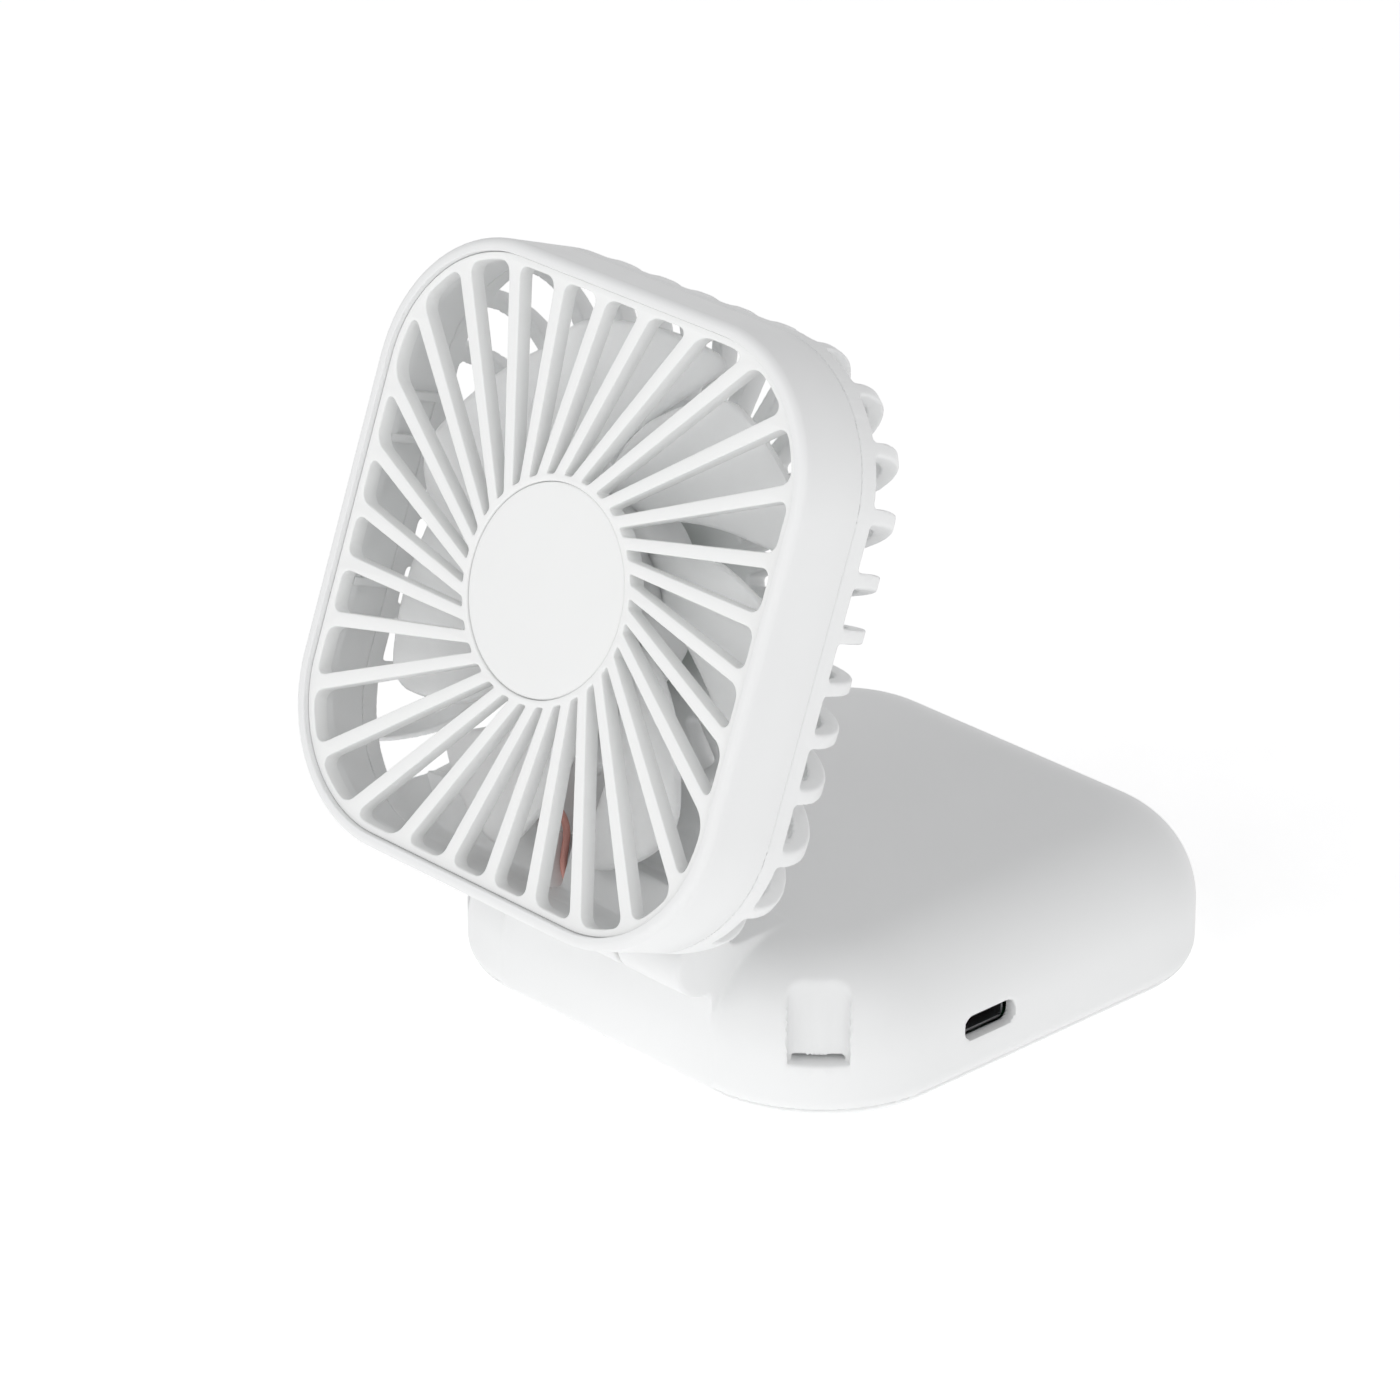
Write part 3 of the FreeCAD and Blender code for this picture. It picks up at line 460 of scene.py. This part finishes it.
def rounded_plan(x, y, half_x, half_y, corner):
    across = np.abs(x) - (half_x - corner)
    along = np.abs(y) - (half_y - corner)
    return (np.hypot(np.maximum(across, 0), np.maximum(along, 0))
            + np.minimum(np.maximum(across, along), 0) - corner)


def domed(plan, height, top, radius):
    """Plan grown up to a top plane, the edge between them rounded."""
    return meet(plan, height - top, radius)


def slab(value, low, high):
    return np.maximum(low - value, value - high)


def surface(field, low, high, cell):
    """Quads on the zero surface of a field, each point then drawn onto it."""
    sides = [np.arange(start, end + cell, cell) for start, end in zip(low, high)]
    values = field(*np.meshgrid(*sides, indexing="ij", sparse=True)).astype(np.float32)
    values = np.broadcast_to(values, [len(side) for side in sides])
    shape = np.array(values.shape) - 1
    total = np.zeros((int(np.prod(shape)), 3))
    count = np.zeros(len(total))
    crossings = []
    for axis in range(3):
        before = [slice(None)] * 3
        after = [slice(None)] * 3
        before[axis], after[axis] = slice(0, -1), slice(1, None)
        a, b = values[tuple(before)], values[tuple(after)]
        cut = (a < 0) != (b < 0)
        spot = np.argwhere(cut)
        near, far = a[cut], b[cut]
        point = spot.astype(float)
        point[:, axis] += near / (near - far)
        others = [k for k in range(3) if k != axis]
        corners = []
        good = np.ones(len(spot), bool)
        for step in ((0, 0), (-1, 0), (-1, -1), (0, -1)):
            home = spot.copy()
            home[:, others[0]] += step[0]
            home[:, others[1]] += step[1]
            good &= np.all((home >= 0) & (home < shape), axis=1)
            corners.append(home)
        flat = [np.ravel_multi_index(home[good].T, shape) for home in corners]
        for index in flat:
            for k in range(3):
                total[:, k] += np.bincount(index, point[good, k], len(total))
            count += np.bincount(index, minlength=len(total))
        quads = np.column_stack(flat)
        flip = (near[good] < 0) == (axis == 1)
        quads[flip] = quads[flip][:, ::-1]
        crossings.append(quads)
    held = np.flatnonzero(count)
    number = np.full(len(total), -1)
    number[held] = np.arange(len(held))
    points = total[held] / count[held, None] * cell + np.array(low)
    quads = number[np.vstack(crossings)]
    reach = 0.02
    for _ in range(4):
        value = field(*points.T)
        slope = np.column_stack([
            (field(*(points + step).T) - field(*(points - step).T)) / (2 * reach)
            for step in np.eye(3) * reach])
        steep = np.maximum((slope ** 2).sum(1), 0.25)
        move = slope * (value / steep)[:, None]
        length = np.sqrt((move ** 2).sum(1))
        move *= np.minimum(1, 0.5 * cell / np.maximum(length, 1e-9))[:, None]
        points -= move
    return points, quads


def shell_piece(name, field, low, high, cell, finish, body, stands_for, head=False, keep=0.4):
    """Piece meshed from a distance field, thinned where it is flat."""
    points, quads = surface(field, low, high, cell)
    made = piece(name, [(points, quads)], finish, body, head, stands_for, sharp=50, tidy=False)
    thin = made.modifiers.new("thin", "DECIMATE")
    thin.ratio = keep
    bpy.context.view_layer.update()
    graph = bpy.context.evaluated_depsgraph_get()
    mesh = bpy.data.meshes.new_from_object(made.evaluated_get(graph))
    made.modifiers.clear()
    old, made.data = made.data, mesh
    bpy.data.meshes.remove(old)
    mesh.name = name
    mesh.polygons.foreach_set("use_smooth", [True] * len(mesh.polygons))
    mesh.set_sharp_from_angle(angle=math.radians(50))
    return made


# ---------------------------------------------------------------- base housing and cover

CORNER = (BASE[0] - BASE[2], BASE[2] - BASE[1])


def base_outside(x, y, z):
    plan = rounded_plan(x, y, *BASE)
    return meet(domed(plan, z, BASE_TOP, TOP_ROUND), FOOT_GAP - z, EDGE_ROUND)


def corner_axes(x, y, side, angle):
    """Coordinates outward along, and across, a front corner's diagonal."""
    away = math.radians(angle)
    dx, dy = x - side * CORNER[0], y - CORNER[1]
    return dx * math.cos(away) + dy * math.sin(away), dy * math.cos(away) - dx * math.sin(away)


NICHE_MIDDLE, NICHE_SIZE, NICHE_FLOOR, NICHE_ROUND = 23.2, (8.0, 4.1, 1.6), 9.0, 0.9
NICHE_BACK, NICHE_TOP, NICHE_LEAN, NICHE_SCALE = 15.2, 19.7, 0.3365, 0.948
BULGE, BULGE_HALF = 0.25, 1.4
SLIT_REACH, SLIT_HALF, SLIT_TOP = (14.2, 19.5), 3.6, 9.7
BACKING = (12.2, 6.1)
RIM_ROUND = 0.35


def niche(z, out, across):
    """Recess in a front corner: a leaning, slightly bulged back wall with a slit at its foot."""
    bulge = BULGE * np.exp(-(across / BULGE_HALF) ** 4)
    back = (NICHE_BACK + NICHE_LEAN * (NICHE_TOP - z) + bulge - out) * NICHE_SCALE
    shape = meet(rounded_plan(out - NICHE_MIDDLE, across, *NICHE_SIZE), back, NICHE_ROUND)
    shape = np.maximum(shape, NICHE_FLOOR - z)
    slit = np.maximum(np.abs(across) - SLIT_HALF, slab(z, NICHE_FLOOR, SLIT_TOP))
    return np.minimum(shape, np.maximum(slab(out, *SLIT_REACH), slit))


def housing(x, y, z):
    shape = base_outside(x, y, z)
    web = np.maximum(slab(y, -BASE[1], -28), z - BASE_TOP)
    axle = np.hypot(y - HINGE.y, z - HINGE.z)
    ears = meet(blend_with(web, axle - BARREL, 1.6), slab(np.abs(x), GAP_HALF, LUG_HALF), 0.45)
    lug = np.minimum(ears, meet(web, np.abs(x) - LUG_HALF, 0.45))
    shape = blend_with(shape, lug, 0.5)
    inner = rounded_plan(x, y, BASE[0] - WALL, BASE[1] - WALL, BASE[2] - WALL)
    room = domed(inner, z, BASE_TOP - WALL, TOP_ROUND - WALL)
    for side, angle in CORNER_SPOTS:
        out, across = corner_axes(x, y, side, angle)
        room = np.maximum(room, -np.maximum(BACKING[0] - out, np.abs(across) - BACKING[1]))
    for spot_x, spot_y in SCREWS:
        boss = np.maximum(SCREW_BOSS - np.hypot(x - spot_x, y - spot_y), BOSS_TOP - z)
        room = np.maximum(room, np.where(z > BOSS_TOP, boss, -FAR))
    shape = np.maximum(shape, -room)
    for side, angle in CORNER_SPOTS:
        out, across = corner_axes(x, y, side, angle)
        shape = without(shape, niche(z, out, across), RIM_ROUND)
    gap = np.maximum(axle - BARREL_ROOM, np.abs(x) - GAP_HALF)
    shape = without(shape, gap, RIM_ROUND)
    run = (y - HINGE.y - z + HINGE.z) / math.sqrt(2)
    off = (y - HINGE.y + z - HINGE.z) / math.sqrt(2)
    channel = np.maximum(np.hypot(x, off) - LEAD_HALF, slab(run, 0, 20))
    shape = np.maximum(shape, -channel)
    port = np.maximum(rounded_plan(y - PORT_Y, z - PORT_Z, *PORT_SIZE), WALL_INSIDE - x)
    shape = without(shape, port, 0.3)
    button = np.maximum(np.hypot(y - PORT_Y, z - BUTTON_Z) - BUTTON_HOLE, x + WALL_INSIDE)
    shape = without(shape, button, RIM_ROUND)
    light = np.maximum(np.hypot(y - LIGHT_Y, z - BUTTON_Z) - LIGHT_HOLE, x + WALL_INSIDE)
    shape = np.maximum(shape, -light)
    return meet(shape, PARTING - z, 0.12)


shell_piece("base_top_shell", housing, (-41.4, -49.2, 1.7), (41.4, 43.1, 27.2), 0.42,
            "shell_white", "base", ["base_top_housing"], keep=0.35)


def cover(x, y, z):
    plan = rounded_plan(x, y, *BASE)
    shape = meet(plan, FOOT_GAP - z, EDGE_ROUND)
    inner = rounded_plan(x, y, BASE[0] - WALL, BASE[1] - WALL, BASE[2] - WALL)
    shape = np.maximum(shape, -np.maximum(inner, COVER_FLOOR - z))
    shape = meet(shape, z - PARTING + PARTING_LINE, 0.2)
    for spot_x, spot_y in SCREWS:
        reach = np.hypot(x - spot_x, y - spot_y)
        shape = np.minimum(shape, np.maximum(reach - SCREW_BOSS, slab(z, 1.2, BOSS_TOP - 0.2)))
        shape = without(shape, np.maximum(reach - SCREW_HOLE, z - SCREW_DEPTH), 0.2)
    for spot_x, spot_y in FEET:
        reach = np.hypot(x - spot_x, y - spot_y)
        shape = without(shape, np.maximum(reach - FOOT_HOLE, z - FOOT_DEPTH), 0.15)
    return shape


shell_piece("base_cover_shell", cover, (-41.4, -43.1, -0.3), (41.4, 43.1, 7.0), 0.42,
            "shell_white", "base", ["base_bottom_cover"], keep=0.3)

foot = [(0.02, 0.0), (2.9, 0.0), *arc((2.9, 0.45), 0.45, -90, 0, 6)[1:], (3.5, 0.88),
        (0.02, 0.88)]
piece("rubber_foot_pads", [lathe(foot, spot) for spot in FEET], "feet_rubber", "base",
      stands_for=["rubber_feet"])

dish = [(0.02, -41.15), (1.2, -41.17), (2.1, -41.28), (2.5, -41.36), (2.62, -41.4),
        (2.8, -41.35), (2.94, -41.2), (3.0, -41.0), (3.0, -38.0), (3.5, -38.0), (3.5, -37.42),
        (0.02, -37.42)]
piece("power_button_cap", [lathe(dish, (PORT_Y, BUTTON_Z), axis="x")], "button_white",
      "power_button", stands_for=["power_button"])

# ---------------------------------------------------------------- head frame

EDGE = 0.22
frame_section = [
    (EDGE, -SEAM), (0.06, -SEAM + 0.06), (0.0, -SEAM + EDGE), (0.0, -6.0), (0.0, -1.3),
    *arc((1.2, -1.2), 1.2, 180, 90, 10), (1.55, 0.0),
    *arc((1.6, -0.2), 0.2, 80, 0, 4), (HEAD_WALL, -0.6), (HEAD_WALL, -3.3), (2.7, -3.3),
    (2.7, -4.7), (HEAD_WALL, -4.7), (HEAD_WALL, -SEAM + 0.1), (HEAD_WALL - 0.1, -SEAM)]
frame_parts = [swept(frame_section, HEAD)]
INSIDE_X, INSIDE_Y = HEAD[0] - HEAD_WALL, HEAD[1] - HEAD_WALL
for upright, side, spot in (("x", 1, -13), ("x", 1, 13), ("x", -1, -13), ("x", -1, 13),
                            ("y", 1, -12), ("y", 1, 12)):
    reach = INSIDE_X if upright == "x" else INSIDE_Y
    low, high = sorted((side * (reach - 1.2), side * (reach + 0.4)))
    for rib in (-3.0, 3.0):
        across = (low, spot + rib - 0.6), (high, spot + rib + 0.6)
        if upright == "y":
            across = [pair[::-1] for pair in across]
        frame_parts.append(block((*across[0], -SEAM + 0.05), (*across[1], -3.6), 0.22))
piece("head_front_frame", frame_parts, "shell_white", "head", head=True,
      stands_for=["front_frame"])

# ---------------------------------------------------------------- front grille

SPOKES, SPOKE_OFFSET, HUB = 30, 7.3, 15.2
FIELD = (36.9, 38.7, 17.6)
GRILLE_FRONT, GRILLE_BACK = -0.8, -3.3
HALF_WIDTH, WIDENING, ROOT = 0.8, 0.3 / 39.8, 12.2
PITCH = 2 * math.pi / SPOKES


def spoke_half(along):
    """Half of a spoke's width, which grows outward."""
    return HALF_WIDTH + WIDENING * (along - ROOT)


def spoke_line(number, side, along):
    """Points on one edge of a spoke."""
    turn = number * PITCH
    out = np.asarray(along, float)
    level = SPOKE_OFFSET + side * spoke_half(out)
    return (out * math.cos(turn) - level * math.sin(turn),
            out * math.sin(turn) + level * math.cos(turn))


def spoke_gap(number, x, y):
    """Distance field of the opening between a spoke and the next."""
    walls = []
    for step, side in ((0, 1), (1, -1)):
        turn = (number + step) * PITCH
        out = x * math.cos(turn) + y * math.sin(turn)
        level = y * math.cos(turn) - x * math.sin(turn)
        walls.append(-side * (level - SPOKE_OFFSET - side * spoke_half(out)))
    opening = meet(np.maximum(*walls), rounded_plan(x, y, *FIELD), 1.5)
    return meet(opening, HUB - np.hypot(x, y), 0.3)


def first_inside(test, low, high):
    for _ in range(40):
        middle = (low + high) / 2
        low, high = (low, middle) if test(middle) else (middle, high)
    return (low + high) / 2


def opening_loop(number):
    """Outline of one opening, found along rays from its middle."""
    ends = []
    for step, side in ((0, 1), (1, -1)):
        line = number + step
        inner = first_inside(lambda t: math.hypot(*spoke_line(line, side, t)) > HUB, 5.0, 16.0)
        outer = first_inside(
            lambda t: rounded_plan(*spoke_line(line, side, t), *FIELD) > 0, 20.0, 56.0)
        ends.append((line, side, inner, outer))
    easing = np.array([0.0, 0.015, 0.035, 0.06, 0.09, 0.14, 0.22, 0.35, 0.5, 0.65, 0.78, 0.86,
                       0.91, 0.94, 0.965, 0.985, 1.0])
    corners = []
    for line, side, inner, outer in ends:
        steps = inner + (outer - inner) * easing
        edge = np.column_stack(spoke_line(line, side, steps))
        corners.append(edge if side == 1 else edge[::-1])
    targets = list(corners[0])
    tail, nose = corners[0][-1], corners[1][0]
    sweep_from, sweep_to = math.atan2(tail[1], tail[0]), math.atan2(nose[1], nose[0])
    if sweep_to < sweep_from:
        sweep_to += 2 * math.pi
    for share in easing[1:-1]:
        angle = sweep_from + (sweep_to - sweep_from) * share
        ray = (math.cos(angle), math.sin(angle))
        reach = first_inside(
            lambda t: rounded_plan(t * ray[0], t * ray[1], *FIELD) > 0, 20.0, 60.0)
        targets.append(np.array(ray) * reach)
    targets.extend(corners[1])
    tail, nose = corners[1][-1], corners[0][0]
    for share in np.linspace(0, 1, 8)[1:-1]:
        chord = tail + (nose - tail) * share
        targets.append(chord * HUB / np.hypot(*chord))
    targets = np.array(targets)
    middle = (corners[0][8] + corners[1][8]) / 2
    away = targets - middle
    low, high = np.zeros(len(targets)), np.full(len(targets), 1.05)
    for _ in range(34):
        half = (low + high) / 2
        spot = middle + away * half[:, None]
        outside = spoke_gap(number, spot[:, 0], spot[:, 1]) > 0
        high = np.where(outside, half, high)
        low = np.where(outside, low, half)
    loop = middle + away * ((low + high) / 2)[:, None]
    kept = [loop[0]]
    for point in loop[1:]:
        if np.hypot(*(point - kept[-1])) > 0.04:
            kept.append(point)
    return [tuple(point) for point in kept]


CAP_RADIUS = 14.2
edge_size = tuple(size - HEAD_WALL - 0.06 for size in HEAD)
rim_loop = outline(*edge_size, steps=28, straight=10)
well_loop = [(math.cos(a) * (CAP_RADIUS + 0.07), math.sin(a) * (CAP_RADIUS + 0.07))
             for a in np.linspace(0, 2 * math.pi, 120, endpoint=False)]
grille_loops = [rim_loop, well_loop] + [opening_loop(k) for k in range(SPOKES)]
hub_back = [(0.02, -1.98), (14.8, -1.98), (14.8, -3.0), (15.05, -3.2),
            *arc((14.7, -3.55), 0.35, 0, -90, 5), (0.02, -3.9)]
piece("slatted_grille", [plate(grille_loops, GRILLE_BACK, GRILLE_FRONT, 0.22),
                         lathe(hub_back, steps=96)], "grille_white", "head", head=True,
      stands_for=["front_grille"], sharp=24)

cap_section = [(0.02, -1.95), (CAP_RADIUS - 0.1, -1.95), (CAP_RADIUS, -1.85),
               (CAP_RADIUS, -1.3), *arc((CAP_RADIUS - 0.3, -1.3), 0.3, 0, 90, 5)[1:],
               (12.9, -0.97), (9.0, -0.93), (0.02, -0.92)]
piece("hub_cap", [lathe(cap_section, steps=120)], "grille_white", "head", head=True,
      stands_for=["centre_cap"])

# ---------------------------------------------------------------- rear shell

RIB_HALF, SLOT_FRONT, OUTER_SLOT, INNER_SLOT, INNER_END = 1.0, 13.9, 26.6, 17.4, 24.6
SLOT_PITCH, BELOW_CLEAR, INNER_ROUND = 10, 44, 7.0
BEARING_HOLE, BEARING_TUBE, MOTOR_DISC = 2.2, 3.2, 5.0
PIN_HOLE, PIN_REACH = 1.55, 10


def fan_slots(x, y, depth, inner):
    """Radial openings ten degrees apart, folded onto one."""
    pitch = math.radians(SLOT_PITCH)
    angle = np.arctan2(y, x) - pitch / 2
    nearest = np.round(angle / pitch) * pitch
    reach = np.hypot(x, y)
    out, across = reach * np.cos(angle - nearest), reach * np.sin(angle - nearest)
    half = out * math.tan(pitch / 2) - RIB_HALF + (0.25 if inner else 0)
    sides = (np.abs(across) - half) * math.cos(pitch / 2)
    if inner:
        ends = slab(out, INNER_SLOT, INNER_END)
        return meet(sides, ends, 0.5)
    opening = meet(sides, OUTER_SLOT - out, 0.7)
    opening = meet(opening, SLOT_FRONT - depth, 0.5)
    from_below = np.abs((np.degrees(nearest + pitch / 2) + 270) % 360 - 180)
    return np.where(from_below > BELOW_CLEAR, opening, FAR)


def rear(x, y, z):
    depth = -z
    shape = domed(rounded_plan(x, y, *HEAD), depth, HEAD_DEPTH, HEAD_ROUND)
    inner = rounded_plan(x, y, HEAD[0] - HEAD_WALL, HEAD[1] - HEAD_WALL, HEAD[2] - HEAD_WALL)
    shape = np.maximum(shape, -domed(inner, depth, HEAD_FLOOR, INNER_ROUND))
    half = 21.0 + 7.0 * (y + HEAD[1]) / 8.6
    root = np.maximum(np.abs(x) - half, slab(y, -HEAD[1], -33.0))
    root = np.maximum(root, rounded_plan(x, y, *HEAD))
    root = meet(root, slab(depth, 16.4, 21.3), 0.6)
    for inner_row in (False, True):
        shape = without(shape, fan_slots(x, y, depth, inner_row), RIM_ROUND)
    shape = blend_with(shape, root, 0.4)
    reach = np.hypot(x, y)
    shape = np.minimum(shape, np.maximum(reach - BEARING_TUBE, slab(depth, 9.1, 23)))
    shape = blend_with(shape, np.maximum(reach - MOTOR_DISC, slab(depth, 15.2, 23)), 0.5)
    axle = np.hypot(y + FACE_RISE, depth - FACE_REACH)
    neck = np.maximum(slab(y, -44.2, -38.5), slab(depth, 18.6, FACE_REACH))
    knuckle = blend_with(axle - BARREL, neck, 0.8)
    knuckle = meet(knuckle, np.abs(x) - KNUCKLE_HALF, 0.5)
    shape = blend_with(shape, knuckle, 0.7)
    slot = np.minimum(axle - BARREL_ROOM, np.maximum(slab(y, -42.6, -37.6), slab(depth, 16, 24)))
    slot = np.minimum(slot, np.maximum(slab(y, -40, -31), slab(depth, 12, 19.9)))
    shape = np.maximum(shape, -np.maximum(slot, np.abs(x) - LEAD_HALF))
    shape = np.maximum(shape, -np.maximum(axle - PIN_HOLE, np.abs(x) - PIN_REACH))
    shape = np.maximum(shape, -np.maximum(reach - BEARING_HOLE, depth - HEAD_FLOOR))
    return meet(shape, SEAM - depth, 0.2)


shell_piece("head_rear_shell", rear, (-40.6, -48.9, -32.2), (40.6, 42.2, -10.4), 0.38,
            "shell_white", "head", ["rear_shell"], head=True, keep=0.4)

# ---------------------------------------------------------------- impeller

BLADES, BLADE_TIP, BLADE_PHASE = 7, 36.0, 45.7
BLADE_PITCH, BLADE_MID, BLADE_THICK, BLADE_CORNER = math.radians(16.0), 10.3, 1.3, 2.5
HEEL, TOE, CUP_INSIDE = math.radians(-24), math.radians(17), 12.7
LEADING = [(BLADE_TIP * math.cos(TOE), BLADE_TIP * math.sin(TOE)), (27.0, 14.0), (16.5, 14.3),
           (8.0, 9.6)]
TRAILING = [(12.0, 4.2), (20.6, 0.0), (BLADE_TIP * math.cos(HEEL), BLADE_TIP * math.sin(HEEL))]


def beside(x, y, tail, nose):
    """Signed distance to the right of a line."""
    dx, dy = nose[0] - tail[0], nose[1] - tail[1]
    return ((x - tail[0]) * dy - (y - tail[1]) * dx) / math.hypot(dx, dy)


def blade(x, y, z):
    """Distance field of a swept blade lying flat, its tip towards x."""
    plan = np.hypot(x, y) - BLADE_TIP
    for tail, nose in zip(LEADING, LEADING[1:]):
        plan = meet(plan, beside(x, y, tail, nose), BLADE_CORNER)
    behind = blend_with(beside(x, y, TRAILING[0], TRAILING[1]),
                        beside(x, y, TRAILING[1], TRAILING[2]), BLADE_CORNER)
    plan = np.maximum(meet(plan, behind, BLADE_CORNER), CUP_INSIDE - np.hypot(x, y))
    return meet(plan, np.abs(z) - BLADE_THICK / 2, 0.55)


blade_points, blade_faces = surface(blade, (7, -16, -1.4), (37, 16, 1.4), 0.42)
wheel = []
for number in range(BLADES):
    turn = (Matrix.Rotation(math.radians(BLADE_PHASE) + number * 2 * math.pi / BLADES, 4, "Z")
            @ Matrix.Translation((0, 0, -BLADE_MID)) @ Matrix.Rotation(BLADE_PITCH, 4, "X"))
    wheel.append(([turn @ Vector(point) for point in blade_points], blade_faces))
cup = [(0.02, -6.0), (11.5, -6.0), *arc((11.5, -8.5), 2.5, 90, 0, 10)[1:], (14.0, -15.4),
       (13.8, -15.6), (12.5, -15.6), (12.32, -15.4), (12.32, -7.65), (0.02, -7.65)]
wheel.append(lathe(cup, steps=96))
piece("fan_wheel", wheel, "blade_frost", "impeller", head=True, stands_for=["impeller"],
      sharp=40)

# ---------------------------------------------------------------- floor

floor_mesh = bpy.data.meshes.new("floor")
floor_mesh.from_pydata([(-6, -6, 0), (6, -6, 0), (6, 6, 0), (-6, 6, 0)], [], [(0, 1, 2, 3)])
floor = bpy.data.objects.new("floor", floor_mesh)
paper, paper_tree, paper_shader = new_material("paper_floor")
fibre = grain(paper_tree, 90.0, 3.0)
paper_tree.links.new(ramp(paper_tree, fibre.outputs[0], (0.88, 0.88, 0.88), (0.9, 0.9, 0.9)),
                     paper_shader.inputs["Base Color"])
paper_shader.inputs["Roughness"].default_value = 0.9
paper_shader.inputs["Emission Color"].default_value = (1, 1, 1, 1)
paper_shader.inputs["Emission Strength"].default_value = 0.41
floor_mesh.materials.append(paper)
scene.collection.objects.link(floor)
floor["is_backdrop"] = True

# ---------------------------------------------------------------- overall sizes

low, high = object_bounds()
